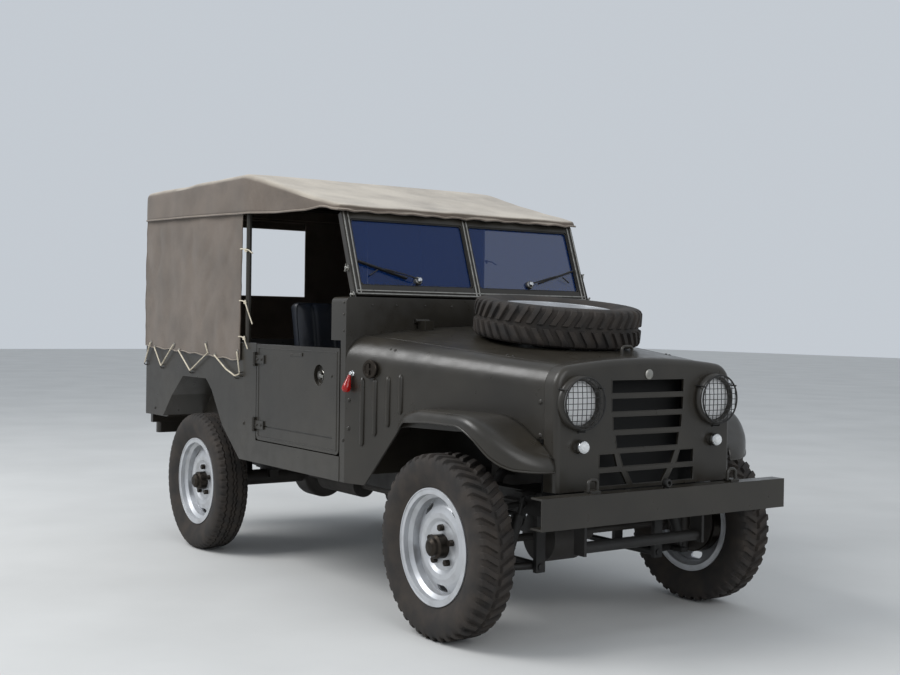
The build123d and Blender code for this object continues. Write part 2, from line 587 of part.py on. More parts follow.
# Body tub: floor, wheelhouses and sides
with BuildPart() as floor:
    block((STEP_X, SCUTTLE_X - 15), (-BODY_HALF + WALL + FIT, BODY_HALF - WALL - FIT), (FLOOR_Z, FLOOR_Z + FLOOR_T))
    block((STEP_X - FLOOR_T, STEP_X), (-BODY_HALF + WALL + FIT, BODY_HALF - WALL - FIT), (FLOOR_Z, LOAD_Z + FLOOR_T))
    block((BODY_REAR_X, STEP_X), (-BODY_HALF + WALL + FIT, BODY_HALF - WALL - FIT), (LOAD_Z, LOAD_Z + 9))
    block((BODY_REAR_X, BODY_REAR_X + 30), (-BODY_HALF + WALL + FIT, BODY_HALF - WALL - FIT), (600, LOAD_Z + 9))
    for side in (-1, 1):
        with BuildSketch(Plane.XZ.offset(-side * (WHEELHOUSE_Y - FIT))):
            with BuildLine():
                Polyline(*ARCH, close=True)
            make_face()
            offset(amount=14 + FIT, kind=Kind.INTERSECTION)
        extrude(amount=side * (WHEELHOUSE_Y - BODY_HALF), mode=Mode.SUBTRACT)
    for y in TAIL_HINGES:
        pin((TAIL_HINGE_X, y - 25, TAIL_HINGE_Z), (TAIL_HINGE_X, y + 25, TAIL_HINGE_Z), 14)
        for low in (y - 25 - FIT - 14, y + 25 + FIT):
            block((TAIL_HINGE_X, BODY_REAR_X), (low, low + 14), (TAIL_HINGE_Z - HINGE_R, TAIL_HINGE_Z))
save(floor, "floor")

with BuildPart() as wheelhouses:
    with BuildSketch(Plane.XZ.offset(-WHEELHOUSE_Y)):
        with BuildLine():
            Polyline(*ARCH, close=True)
        make_face()
        offset(amount=14, kind=Kind.INTERSECTION)
    extrude(amount=-(BODY_HALF - WALL - FIT - WHEELHOUSE_Y))
    with BuildSketch(Plane.XZ.offset(-WHEELHOUSE_Y - 12)):
        with BuildLine():
            Polyline(*ARCH, close=True)
        make_face()
        offset(amount=2, kind=Kind.INTERSECTION)
    extrude(amount=WHEELHOUSE_Y - BODY_HALF, mode=Mode.SUBTRACT)
    block((-1600, -300), (WHEELHOUSE_Y - 10, BODY_HALF), (400, 520), mode=Mode.SUBTRACT)
    block((-1600, -1200), (WHEELHOUSE_Y - 10, BODY_HALF), (400, REAR_LOW), mode=Mode.SUBTRACT)
    mirror(about=Plane.XZ)
save(wheelhouses, "wheelhouses")

with BuildPart() as body_sides:
    slab(
        ((DOOR_FRONT_X, SILL_LOW), (DOOR_FRONT_X, SILL_TOP), (DOOR_REAR_X, SILL_TOP), (DOOR_REAR_X, BODY_TOP),
         (BODY_REAR_X, BODY_TOP), (BODY_REAR_X, REAR_LOW), *reversed(ARCH[1:-1])),
        (-BODY_HALF, -BODY_HALF + WALL),
    )
    block((BODY_REAR_X, BODY_REAR_X + WALL), (-BODY_HALF + WALL, -TAILGATE_HALF - 6), (LOAD_Z + 9 + FIT, BODY_TOP))
    for low, high in DOOR_HINGES:
        pin((DOOR_HINGE_X, -DOOR_HINGE_Y, low), (DOOR_HINGE_X, -DOOR_HINGE_Y, high), 13)
        for z in (low - FIT - 13, high + FIT):
            block((DOOR_HINGE_X - 26, DOOR_HINGE_X), (-DOOR_HINGE_Y, -BODY_HALF), (z, z + 13))
    mirror(about=Plane.XZ)
save(body_sides, "body_sides")

# Scuttle with the dash and door posts
with BuildPart() as scuttle:
    wide = SCUTTLE_SECTION.side
    block((SCUTTLE_X - 15, SCUTTLE_X), (-wide, wide), (540, SCUTTLE_TOP))
    block((DASH_X, SCUTTLE_X), (-wide, wide), (SCUTTLE_TOP - 12, SCUTTLE_TOP))
    block((DASH_X, DASH_X + 12), (-wide, wide), (1110, SCUTTLE_TOP))
    for side in (-1, 1):
        block((DOOR_FRONT_X, SCUTTLE_X), (side * (wide - 28), side * wide), (SILL_LOW, SCUTTLE_TOP))
        block((DASH_X, DOOR_FRONT_X), (side * (wide - 28), side * wide), (1110, SCUTTLE_TOP))
    edge = scuttle.edges().filter_by(Axis.X).group_by(Axis.Z)[-1]
    fillet(edge, 24)
    rod(COLUMN_LOW, COLUMN_TOP, COLUMN_R + 1, mode=Mode.SUBTRACT)
    for y in BONNET_HINGES:
        pin((BONNET_HINGE_X, y - 22, BONNET_HINGE_Z), (BONNET_HINGE_X, y + 22, BONNET_HINGE_Z), 12)
        for low in (y - 22 - FIT - 12, y + 22 + FIT):
            block((SCUTTLE_X, BONNET_HINGE_X), (low, low + 12), (BONNET_HINGE_Z - HINGE_R, BONNET_HINGE_Z + HINGE_R))
save(scuttle, "scuttle")

# Engine bay sides with the rounded shoulders
SIDE_FRONT_X = PANEL_BACK_X - FIT
with BuildPart() as bonnet_sides:
    for x in (SCUTTLE_X + FIT, SIDE_FRONT_X):
        s = section_at(x)
        with BuildSketch(Plane.YZ.offset(x)):
            with BuildLine():
                Line((-s.side, SILL_LOW), (-s.side, s.shoulder))
                TangentArc((-s.side, s.shoulder), (-s.lid, s.edge), tangent=(0, 1))
                Line((-s.lid, s.edge), (-s.lid, s.edge - SIDE_T))
                TangentArc((-s.side + SIDE_T, s.shoulder), (-s.lid, s.edge - SIDE_T), tangent=(0, 1))
                Line((-s.side + SIDE_T, s.shoulder), (-s.side + SIDE_T, SILL_LOW))
                Line((-s.side + SIDE_T, SILL_LOW), (-s.side, SILL_LOW))
            make_face()
    loft(ruled=True)
    slab(((645, 400), (645, 482), (860, 764), (900, 770), (1700, 770), (1700, 400)), (-BODY_HALF, 0), mode=Mode.SUBTRACT)
    mirror(about=Plane.XZ)
save(bonnet_sides, "bonnet_sides")

# Front panel with its cooling slots
with BuildPart() as front_panel:
    s = PANEL_SECTION
    for face_x, depth, inset, mode in ((PANEL_X, PANEL_DEPTH, 0, Mode.ADD), (PANEL_X - PANEL_T, PANEL_DEPTH, PANEL_T, Mode.SUBTRACT)):
        with BuildSketch(Plane.YZ.offset(face_x)):
            with BuildLine():
                foot = PANEL_LOW if inset == 0 else PANEL_LOW - 1
                Polyline((-s.side + inset, s.shoulder), (-s.side + inset, foot), (s.side - inset, foot), (s.side - inset, s.shoulder))
                TangentArc((s.side - inset, s.shoulder), (s.lid, s.edge - inset), tangent=(0, 1))
                ThreePointArc((s.lid, s.edge - inset), (0, s.crown - inset), (-s.lid, s.edge - inset))
                TangentArc((-s.side + inset, s.shoulder), (-s.lid, s.edge - inset), tangent=(0, 1))
            make_face()
        extrude(amount=-depth, mode=mode)
        if inset == 0:
            rim = front_panel.faces().sort_by(Axis.X)[-1].edges().sort_by(Axis.Z)[1:]
            fillet(rim, PANEL_ROUND)
    with BuildSketch(Plane.YZ.offset(PANEL_X)):
        for slot in SLOTS:
            top = SLOT_TOP - slot.row * SLOT_PITCH
            with BuildLine():
                Polyline((slot.inner_top, top), (slot.outer_top, top), (slot.outer_low, top - SLOT_H),
                         (slot.inner_low, top - SLOT_H), close=True)
            make_face()
        with Locations((-LAMP_Y, LAMP_Z), (LAMP_Y, LAMP_Z)):
            Circle(LAMP_R - 8)
    extrude(amount=-PANEL_T - 1, mode=Mode.SUBTRACT)
save(front_panel, "front_panel")

LENS_R = LAMP_R - 16
LENS_RISE = 15.0
DOME_R = (LENS_R ** 2 + LENS_RISE ** 2) / (2 * LENS_RISE)
LENS_TURN = asin(LENS_R / DOME_R) / 2
LENS_MID = (PANEL_X + 35 - DOME_R + DOME_R * cos(LENS_TURN), DOME_R * sin(LENS_TURN))
with BuildPart() as headlamps:
    with BuildSketch(Plane.XY.offset(LAMP_Z)):
        with BuildLine():
            Polyline((PANEL_X - 58, LAMP_Y), (PANEL_X - 50, LAMP_Y + 55), (PANEL_X - 10, LAMP_Y + LAMP_R - 9),
                     (PANEL_X, LAMP_Y + LAMP_R - 9), (PANEL_X, LAMP_Y + LAMP_R), (PANEL_X + 8, LAMP_Y + LAMP_R),
                     (PANEL_X + 20, LAMP_Y + LAMP_R - 10), (PANEL_X + 20, LAMP_Y + LAMP_R - 16))
            ThreePointArc((PANEL_X + 20, LAMP_Y + LENS_R), (LENS_MID[0], LAMP_Y + LENS_MID[1]), (PANEL_X + 35, LAMP_Y))
            Line((PANEL_X + 35, LAMP_Y), (PANEL_X - 58, LAMP_Y))
        make_face()
    revolve(axis=Axis((0, LAMP_Y, LAMP_Z), (1, 0, 0)))
    mirror(about=Plane.XZ)
save(headlamps, "headlamps")

GUARD_X = PANEL_X + 37
with BuildPart() as headlamp_guards:
    with BuildSketch(Plane.YZ.offset(GUARD_X)):
        with Locations((LAMP_Y, LAMP_Z)):
            Circle(LAMP_R - 3)
            Circle(LAMP_R - 8, mode=Mode.SUBTRACT)
    extrude(amount=6)
    for step in (-60, -30, 0, 30, 60):
        reach = ((LAMP_R - 6) ** 2 - step ** 2) ** 0.5
        block((GUARD_X, GUARD_X + 4), (LAMP_Y + step - 2, LAMP_Y + step + 2), (LAMP_Z - reach, LAMP_Z + reach))
        block((GUARD_X, GUARD_X + 4), (LAMP_Y - reach, LAMP_Y + reach), (LAMP_Z + step - 2, LAMP_Z + step + 2))
    block((PANEL_X, GUARD_X + 6), (LAMP_Y - 10, LAMP_Y + 10), (LAMP_Z - LAMP_R - 7, LAMP_Z - LAMP_R - 1))
    block((GUARD_X, GUARD_X + 6), (LAMP_Y - 10, LAMP_Y + 10), (LAMP_Z - LAMP_R - 7, LAMP_Z - LAMP_R + 8))
    mirror(about=Plane.XZ)
save(headlamp_guards, "headlamp_guards")

with BuildPart() as small_lamps:
    rod((PANEL_X, PARK_Y, PARK_Z), (PANEL_X + 34, PARK_Y, PARK_Z), 21)
    rod((PANEL_X + 30, PARK_Y, PARK_Z), (PANEL_X + 44, PARK_Y, PARK_Z), 24)
    rod((BODY_REAR_X, 628, 790), (BODY_REAR_X - 34, 628, 790), 38)
    side_out = Vector(SIDE_SLOPE, 1, 0).normalized()
    side_foot = Vector(585, section_at(585).side, 955) + side_out * FIT
    rod(side_foot, side_foot + side_out * 24, 9)
    rod(side_foot + side_out * 22 + Vector(0, 0, 14), side_foot + side_out * 34 - Vector(0, 0, 62), 17)
    mirror(about=Plane.XZ)
save(small_lamps, "small_lamps")

# Front wings

def wing_block(inset):
    """The block that fills one wing, with its faces set in from the outside."""
    out = WING_OUT - inset
    front = WING_FRONT_X - inset
    top = WING_TOP - inset
    bend = WING_FRONT_X - WING_CORNER
    rear_y = section_at(WING_REAR_X).side
    with BuildSketch(Plane.XY.offset(WING_LOW)) as plan:
        with BuildLine():
            Polyline((WING_REAR_X, -WING_IN), (WING_REAR_X, -rear_y + inset), (WING_WIDE_X, -out), (bend, -out))
            TangentArc((bend, -out), (front, -WING_OUT + WING_CORNER), tangent=(1, 0))
            Polyline((front, -WING_OUT + WING_CORNER), (front, -WING_IN), (WING_REAR_X, -WING_IN))
        make_face()
    extrude(plan.sketch, amount=WING_TOP - WING_LOW)
    with BuildSketch(Plane.XZ) as flank:
        with BuildLine():
            nose = WING_FRONT_X - WING_NOSE
            Polyline((front, WING_TOP - WING_NOSE), (front, WING_LOW - 10), (WING_REAR_X - 20, WING_LOW - 10),
                     (WING_REAR_X - 20, 765 - inset), (WING_REAR_X + 20, 775 - inset), (980, top), (nose, top))
            TangentArc((nose, top), (front, WING_TOP - WING_NOSE), tangent=(1, 0))
        make_face()
    extrude(flank.sketch, amount=BODY_HALF * 1.2, mode=Mode.INTERSECT)


with BuildPart() as wing_hollow:
    wing_block(WING_T)
with BuildPart() as front_wings:
    wing_block(0)
    add(wing_hollow.part, mode=Mode.SUBTRACT)
    slab(((700, 500), (700, 700), (820, 730), (866, 766), (985, 800), (1395, 800), (1470, 780), (1525, 730), (1548, 656), (1700, 656),
          (1700, 500)), (-BODY_HALF, 0), mode=Mode.SUBTRACT)
    with BuildSketch(Plane.XY.offset(400)):
        with BuildLine():
            Polyline((300, 0), (300, -SCUTTLE_SECTION.side - SIDE_SLOPE * (SCUTTLE_X - 300)),
                     (PANEL_BACK_X, -PANEL_SECTION.side), (1700, -PANEL_SECTION.side), (1700, 0), close=True)
        make_face()
    extrude(amount=700, mode=Mode.SUBTRACT)
    mirror(about=Plane.XZ)
save(front_wings, "front_wings")

# Windscreen with two panes and its wipers
RAKE = Vector(-sin(radians(SCREEN_RAKE)), 0, cos(radians(SCREEN_RAKE)))
SCREEN = Plane(origin=(SCREEN_X, 0, SCREEN_Z), x_dir=(0, 1, 0), z_dir=(cos(radians(SCREEN_RAKE)), 0, sin(radians(SCREEN_RAKE))))
PANE_W = SCREEN_HALF - SCREEN_BAR - 18
PANE_H = SCREEN_RISE - SCREEN_BAR - SCREEN_SILL
PANE_AT = ((-18 - PANE_W / 2, SCREEN_SILL + PANE_H / 2), (18 + PANE_W / 2, SCREEN_SILL + PANE_H / 2))
with BuildPart() as windscreen_frame:
    with BuildSketch(SCREEN.offset(-SCREEN_T / 2)):
        with Locations((0, SCREEN_RISE / 2)):
            RectangleRounded(2 * SCREEN_HALF, SCREEN_RISE, 16)
        with Locations(*PANE_AT):
            RectangleRounded(PANE_W, PANE_H, 12, mode=Mode.SUBTRACT)
    extrude(amount=SCREEN_T)
save(windscreen_frame, "windscreen_frame")

with BuildPart() as windscreen_glass:
    with BuildSketch(SCREEN.offset(-3)):
        with Locations(*PANE_AT):
            RectangleRounded(PANE_W, PANE_H, 12)
    extrude(amount=6)
save(windscreen_glass, "windscreen_glass")

WIPER_Y = 300.0
with BuildPart() as wipers:
    foot = SCREEN.offset(SCREEN_T / 2)
    with BuildSketch(foot):
        with Locations((WIPER_Y, 26)):
            Circle(20)
    extrude(amount=22)
    with BuildSketch(foot.offset(14)):
        with Locations((WIPER_Y + 130, 44)):
            Rectangle(270, 7, rotation=8)
        with Locations((WIPER_Y + 165, 62)):
            Rectangle(260, 10, rotation=8)
        with Locations((WIPER_Y + 168, 55)):
            Rectangle(8, 20, rotation=8)
    extrude(amount=7)
    mirror(about=Plane.XZ)
save(wipers, "wipers")

# Doors, tailgate and bonnet lid
with BuildPart() as door_right:
    block((DOOR_REAR_X + DOOR_GAP, DOOR_FRONT_X - DOOR_GAP), (-BODY_HALF, -BODY_HALF + 34), (SILL_TOP + DOOR_GAP, BODY_TOP - 4))
    fillet(door_right.edges().filter_by(Axis.Y).group_by(Axis.Z)[0], 24)
    block((DOOR_REAR_X + 60, DOOR_FRONT_X - 60), (-BODY_HALF, -BODY_HALF + 4), (SILL_TOP + 70, SILL_TOP + 76), mode=Mode.SUBTRACT)
    rod((329, -BODY_HALF, 955), (329, -BODY_HALF + 18, 955), 46, mode=Mode.SUBTRACT)
    rod((329, -BODY_HALF + 18, 955), (329, -BODY_HALF + 2, 955), 18)
    for low, high in DOOR_HINGES:
        block((DOOR_HINGE_X, DOOR_HINGE_X + 95), (-BODY_HALF - 7, -BODY_HALF), (low, high))
        barrel((DOOR_HINGE_X, -DOOR_HINGE_Y, low), (DOOR_HINGE_X, -DOOR_HINGE_Y, high))
save(door_right, "door_right")
opposite(door_right, "door_left")

with BuildPart() as tailgate:
    block((BODY_REAR_X, BODY_REAR_X + 32), (-TAILGATE_HALF, TAILGATE_HALF), (LOAD_Z + 16, BODY_TOP - 4))
    for y in TAIL_HINGES:
        block((TAIL_HINGE_X + 2, BODY_REAR_X), (y - 25, y + 25), (TAIL_HINGE_Z + 4, TAIL_HINGE_Z + 50))
        barrel((TAIL_HINGE_X, y - 25, TAIL_HINGE_Z), (TAIL_HINGE_X, y + 25, TAIL_HINGE_Z))
save(tailgate, "tailgate")

LID_REAR_X = SCUTTLE_X + 11
LID_FRONT_X = PANEL_BACK_X - 5
SPARE_X = 1062.0
SLOPE_COS = 1 / (1 + BONNET_SLOPE ** 2) ** 0.5
SPARE_UP = Vector(BONNET_SLOPE * SLOPE_COS, 0, SLOPE_COS)
SPARE_FOOT = Vector(SPARE_X, 0, crown_at(SPARE_X))
SPARE_RISE = TYRE_HALF + FIT
SPARE_PLACE = Plane(
    origin=SPARE_FOOT + SPARE_UP * SPARE_RISE, x_dir=(SLOPE_COS, 0, -BONNET_SLOPE * SLOPE_COS), z_dir=(0, 1, 0)
).location
with BuildPart() as bonnet:
    for x, gap in ((LID_REAR_X, LID_REAR_GAP), (LID_FRONT_X, LID_GAP)):
        s = section_at(x)
        wide = s.lid - gap
        with BuildSketch(Plane.YZ.offset(x)):
            with BuildLine():
                ThreePointArc((-wide, s.edge), (0, s.crown), (wide, s.edge))
                Line((wide, s.edge), (wide, s.edge - LID_T))
                ThreePointArc((wide, s.edge - LID_T), (0, s.crown - LID_T), (-wide, s.edge - LID_T))
                Line((-wide, s.edge - LID_T), (-wide, s.edge))
            make_face()
    loft(ruled=True)
    for y in BONNET_HINGES:
        block((BONNET_HINGE_X, BONNET_HINGE_X + 60), (y - 22, y + 22), (crown_at(600) - 18, BONNET_HINGE_Z + 2))
        barrel((BONNET_HINGE_X, y - 22, BONNET_HINGE_Z), (BONNET_HINGE_X, y + 22, BONNET_HINGE_Z))
    rod(SPARE_FOOT - SPARE_UP * 6, SPARE_FOOT + SPARE_UP * (SPARE_RISE + 8 - FIT), 60)
    rod(SPARE_FOOT, SPARE_FOOT + SPARE_UP * (SPARE_RISE + 40), HUB_R - 1)
    tube(((1500, -28, crown_at(1500) - 5), (1500, -28, crown_at(1500) + 34), (1500, 28, crown_at(1500) + 34),
          (1500, 28, crown_at(1500) - 5)), 16, 6)
save(bonnet, "bonnet")
fit(tyre.part, SPARE_PLACE, "spare_tyre")
fit(wheel.part, SPARE_PLACE, "spare_wheel")

# Seats and controls
SEAT_IN = 130.0
SEAT_OUT = BODY_HALF - 150.0
with BuildPart() as seat_bases:
    block((-100, 240), (SEAT_IN + 20, SEAT_OUT - 20), (FLOOR_Z + FLOOR_T, 650))
    mirror(about=Plane.XZ)
save(seat_bases, "seat_bases")

with BuildPart() as seats:
    block((-116 + FIT, 262), (SEAT_IN, SEAT_OUT), (650, 790))
    slab(((-116, 650), (-116, 770), (-205, 1270), (-292, 1255), (-212, 650)), (SEAT_IN, SEAT_OUT))
    block((-1400, -620), (WHEELHOUSE_Y + 12, BODY_HALF - WALL - 12), (900 + FIT, 968))
    mirror(about=Plane.XZ)
save(seats, "seats")

with BuildPart() as levers:
    for y, top in ((-20, 840), (-75, 780), (40, 760)):
        rod((345, y, FLOOR_Z + FLOOR_T), (345, y, FLOOR_Z + FLOOR_T + 20), 16)
        rod((345, y, FLOOR_Z + FLOOR_T + 10), (310, y, top), 8)
        with Locations((310, y, top)):
            Sphere(20)
save(levers, "levers")

# Canvas hood on its bows
with BuildPart() as hood_bows:
    for x, top in ((HOOD_BOW_X, HOOD_BOW_Z), (-1050, 1876.0), (-1672, HOOD_REAR_Z)):
        crest = top - HOOD_T - BOW_R - 2 * FIT
        tube(((x, -BOW_Y, BODY_TOP), (x, -BOW_Y, crest - 40), (x, -BOW_Y + 60, crest), (x, BOW_Y - 60, crest),
              (x, BOW_Y, crest - 40), (x, BOW_Y, BODY_TOP)), 30, BOW_R)
save(hood_bows, "hood_bows")


def hood_block(inset):
    """The block that fills the canvas top, with its faces set in from the outside."""
    with BuildSketch(Plane.XY.offset(1600)) as plan:
        with BuildLine():
            Polyline(
                (HOOD_FRONT_X - inset, -HOOD_FRONT_HALF + inset), (HOOD_BOW_X, -HOOD_HALF + inset),
                (HOOD_REAR_X + inset, -HOOD_HALF + inset), (HOOD_REAR_X + inset, HOOD_HALF - inset),
                (HOOD_BOW_X, HOOD_HALF - inset), (HOOD_FRONT_X - inset, HOOD_FRONT_HALF - inset), close=True,
            )
        make_face()
    extrude(plan.sketch, amount=400)
    slab(((HOOD_FRONT_X + 10, 1590), (HOOD_FRONT_X + 10, HOOD_FRONT_Z - inset), (HOOD_BOW_X, HOOD_BOW_Z - inset),
          (HOOD_REAR_X - 10, HOOD_REAR_Z - inset), (HOOD_REAR_X - 10, 1590)), (-HOOD_HALF - 10, HOOD_HALF + 10),
         mode=Mode.INTERSECT)


with BuildPart() as hood_hollow:
    hood_block(HOOD_T)
with BuildPart() as canvas_roof:
    hood_block(0)
    add(hood_hollow.part, mode=Mode.SUBTRACT)
    slab(((HOOD_FRONT_X + 20, 1500), (HOOD_FRONT_X + 20, 1664), (HOOD_BOW_X, 1706), (HOOD_REAR_X - 20, 1726),
          (HOOD_REAR_X - 20, 1500)), (-HOOD_HALF - 10, HOOD_HALF + 10), mode=Mode.SUBTRACT)
save(canvas_roof, "canvas_roof")

with BuildPart() as canvas_sides:
    slab(((-1692, 1010), (-1692, 1800), (HOOD_BOW_X - 18, 1800), (-455, 922)), (BODY_HALF + 0.5, BODY_HALF + 6.5))
    mirror(about=Plane.XZ)
    block((HOOD_REAR_X + HOOD_T + FIT, HOOD_REAR_X + 2 * HOOD_T + FIT), (-BODY_HALF + 8, BODY_HALF - 8), (BODY_TOP + 8, 1800))
save(canvas_sides, "canvas_sides")
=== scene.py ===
# %% [markdown]
# # An army 4x4 car with a canvas top
#
# The solids of the car come ready made and stay where they are. This lesson dresses them: enamel, rubber,
# canvas, vinyl and glass, the tread of the tyres, the sewn hood with its lacing, and the small hardware that
# catches the eye. Every length of the car is written in millimetres and turned to metres once.

# %% Load the solids
import math

import bmesh
import bpy
from mathutils import Matrix, Vector, noise
from mathutils.bvhtree import BVHTree


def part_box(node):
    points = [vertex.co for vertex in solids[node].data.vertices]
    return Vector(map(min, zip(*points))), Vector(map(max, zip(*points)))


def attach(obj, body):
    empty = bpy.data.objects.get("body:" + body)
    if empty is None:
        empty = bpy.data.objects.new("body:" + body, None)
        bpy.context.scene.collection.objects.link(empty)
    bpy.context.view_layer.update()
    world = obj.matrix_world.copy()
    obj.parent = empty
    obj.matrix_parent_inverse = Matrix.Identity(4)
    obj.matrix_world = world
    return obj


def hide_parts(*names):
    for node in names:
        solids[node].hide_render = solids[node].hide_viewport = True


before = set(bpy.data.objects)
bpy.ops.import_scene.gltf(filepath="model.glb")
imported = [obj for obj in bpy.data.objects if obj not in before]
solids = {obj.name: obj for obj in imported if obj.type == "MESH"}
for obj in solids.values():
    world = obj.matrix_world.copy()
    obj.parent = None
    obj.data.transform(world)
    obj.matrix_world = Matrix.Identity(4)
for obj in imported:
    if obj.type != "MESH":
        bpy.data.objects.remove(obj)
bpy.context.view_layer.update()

MM = 0.001


def mm(x, y, z):
    """A point given in millimetres."""
    return Vector((x, y, z)) * MM


# %% [markdown]
# ## Camera
#
# The photograph was matched from known points of the car, which gives where the camera stood, where it looked
# and its focal length in pixels. A camera could be set by eye, but a matched one can be checked against the picture.
# Yaw is measured from the car's forward axis towards its left.

# %% Camera at the photograph's place
PHOTO_WIDTH = 900
FOCAL_PIXELS = 1245.75
SENSOR_WIDTH = 36.0
CAMERA_AT = mm(5101.06, -3340.08, 1195.70)
YAW, PITCH, ROLL = (math.radians(a) for a in (145.2517, -0.7264, 0.8567))

forward = Vector((math.cos(YAW) * math.cos(PITCH), math.sin(YAW) * math.cos(PITCH), math.sin(PITCH)))
level = Vector((math.sin(YAW), -math.cos(YAW), 0))
above = level.cross(forward)
right = math.cos(ROLL) * level + math.sin(ROLL) * above
up = math.cos(ROLL) * above - math.sin(ROLL) * level
camera = bpy.data.objects.new("camera", bpy.data.cameras.new("camera"))
bpy.context.scene.collection.objects.link(camera)
camera.matrix_world = Matrix.Translation(CAMERA_AT) @ Matrix((right, up, -forward)).transposed().to_4x4()
camera.data.sensor_width = SENSOR_WIDTH
camera.data.lens = SENSOR_WIDTH * FOCAL_PIXELS / PHOTO_WIDTH
camera.data.clip_end = 200
bpy.context.scene.camera = camera
bpy.context.scene.view_settings.view_transform = "Standard"
print("lens:", round(camera.data.lens, 2), "mm")

# %% [markdown]
# ## Colours and nodes
#
# Colours are picked as sRGB hex values, the way a colour picker shows them, and the shader wants them linear.
# One small function adds a node, sets what it is given and makes its links, so a material reads from top to
# bottom like a recipe.


# %% Helpers for materials
def linear(hex_colour):
    """An sRGB hex colour as linear red, green, blue and alpha."""
    values = [int(hex_colour[i:i + 2], 16) / 255 for i in (1, 3, 5)]
    return [v / 12.92 if v <= 0.04045 else ((v + 0.055) / 1.055) ** 2.4 for v in values] + [1.0]


def add(tree, kind, inputs=None, **settings):
    """Adds a node: settings are its own properties, inputs are values or the sockets to link from."""
    item = tree.nodes.new(kind)
    for key, value in settings.items():
        setattr(item, key, value)
    for key, value in (inputs or {}).items():
        if isinstance(value, bpy.types.NodeSocket):
            tree.links.new(value, item.inputs[key])
        else:
            item.inputs[key].default_value = value
    return item


def new_material(name, **constants):
    """A material with the constants set on its shader, and its tree and shader to build on."""
    made = bpy.data.materials.new(name)
    made.use_nodes = True
    tree = made.node_tree
    shader = tree.nodes["Principled BSDF"]
    for key, value in constants.items():
        shader.inputs[key.replace("_", " ").title().replace("Ior", "IOR")].default_value = value
    return made, tree, shader


def blotches(tree, size_mm, detail=4, vector=None):
    """Soft noise whose blotches are about as wide as the size given."""
    place = vector or add(tree, "ShaderNodeTexCoord").outputs["Object"]
    return add(tree, "ShaderNodeTexNoise", {"Vector": place, "Scale": 1 / (size_mm * MM), "Detail": detail}).outputs[0]


def spread(tree, value, low, high, out_low=0.0, out_high=1.0):
    """Stretches the range low to high of a value over another range."""
    return add(tree, "ShaderNodeMapRange", {"Value": value, "From Min": low, "From Max": high,
                                            "To Min": out_low, "To Max": out_high}).outputs[0]


def blend_colours(tree, share, first, second):
    """Mixes two colours, each a hex value or a socket, by a share from 0 to 1."""
    values = {0: share, 6: first, 7: second}
    inputs = {key: linear(value) if isinstance(value, str) else value for key, value in values.items()}
    return add(tree, "ShaderNodeMix", inputs, data_type="RGBA").outputs[2]


def combine(tree, kind, first, second):
    """Two values put together by a math node."""
    return add(tree, "ShaderNodeMath", {0: first, 1: second}, operation=kind).outputs[0]


def feed(tree, shader, **sockets):
    """Links sockets to the inputs of a shader, which are named here in small letters."""
    for key, socket in sockets.items():
        tree.links.new(socket, shader.inputs[key.replace("_", " ").title()])


def facing_up(tree):
    """1 on faces that look up, 0 on the rest: where dust lies on the enamel, and where the canvas is painted lighter as
    sunlit.
    """
    normal = add(tree, "ShaderNodeNewGeometry").outputs["Normal"]
    return spread(tree, add(tree, "ShaderNodeSeparateXYZ", {"Vector": normal}).outputs["Z"], 0.35, 0.95)


print("a grey of #808080 is", round(linear("#808080")[0], 3), "in linear light")

# %% [markdown]
# ## Finishes
#
# **Army enamel** is brushed or sprayed alkyd over pressed steel: dark olive brown, half gloss, a little orange
# peel, and a dry film of dust on what faces up. Edges of sheet steel are never razor sharp, so a bevel node
# rounds the normal there and gives each edge its thin highlight. Noise in the tree needs no picture and never repeats.


# %% Enamel
def enamel(name, colour, dusty, roughness, dust=0.30, edge_mm=3.0):
    """Sprayed enamel on sheet steel, with dust on top and softened edges."""
    made, tree, shader = new_material(name, ior=1.5)
    patches = blotches(tree, 320)
    tint = blend_colours(tree, spread(tree, patches, 0.3, 0.7, 0, 0.35), colour, dusty)
    lying = combine(tree, "MULTIPLY", facing_up(tree), spread(tree, blotches(tree, 90), 0.35, 0.75, 0, dust))
    rough = spread(tree, blotches(tree, 60, 6), 0.3, 0.7, roughness - 0.06, roughness + 0.08)
    soft = add(tree, "ShaderNodeBevel", {"Radius": edge_mm * MM}, samples=4).outputs[0]
    peel = add(tree, "ShaderNodeBump", {"Height": blotches(tree, 5, 2), "Strength": 0.05, "Distance": 0.4 * MM,
                                        "Normal": soft}).outputs[0]
    feed(tree, shader, base_color=blend_colours(tree, lying, tint, dusty), roughness=rough, normal=peel)
    return made


army_enamel = enamel("olive_army_enamel", "#25221d", "#423d34", 0.33)
frame_paint = enamel("black_chassis_paint", "#121110", "#2c2823", 0.55, dust=0.5, edge_mm=2)
cast_iron = enamel("painted_cast_iron", "#2a2724", "#46403a", 0.6, dust=0.4, edge_mm=2)
print("enamels:", army_enamel.name, frame_paint.name, cast_iron.name)

# %% [markdown]
# **Aluminium paint** on the wheels is a lacquer full of tiny flakes: bright, half metallic, with road grime
# rubbed on in blotches.


# %% Aluminium paint, bare metals and chrome
def metal(name, colour, roughness, grime="#3b342e", grime_share=0.5, metallic=1.0, patch_mm=25):
    """A metal or a flake paint with grime in blotches."""
    made, tree, shader = new_material(name, metallic=metallic)
    dirt = spread(tree, blotches(tree, patch_mm, 6), 0.45, 0.8, 0, grime_share)
    soft = add(tree, "ShaderNodeBevel", {"Radius": 1.5 * MM}, samples=4).outputs[0]
    rough = spread(tree, dirt, 0, 1, roughness, roughness + 0.35)
    feed(tree, shader, base_color=blend_colours(tree, dirt, colour, grime), roughness=rough, normal=soft)
    return made


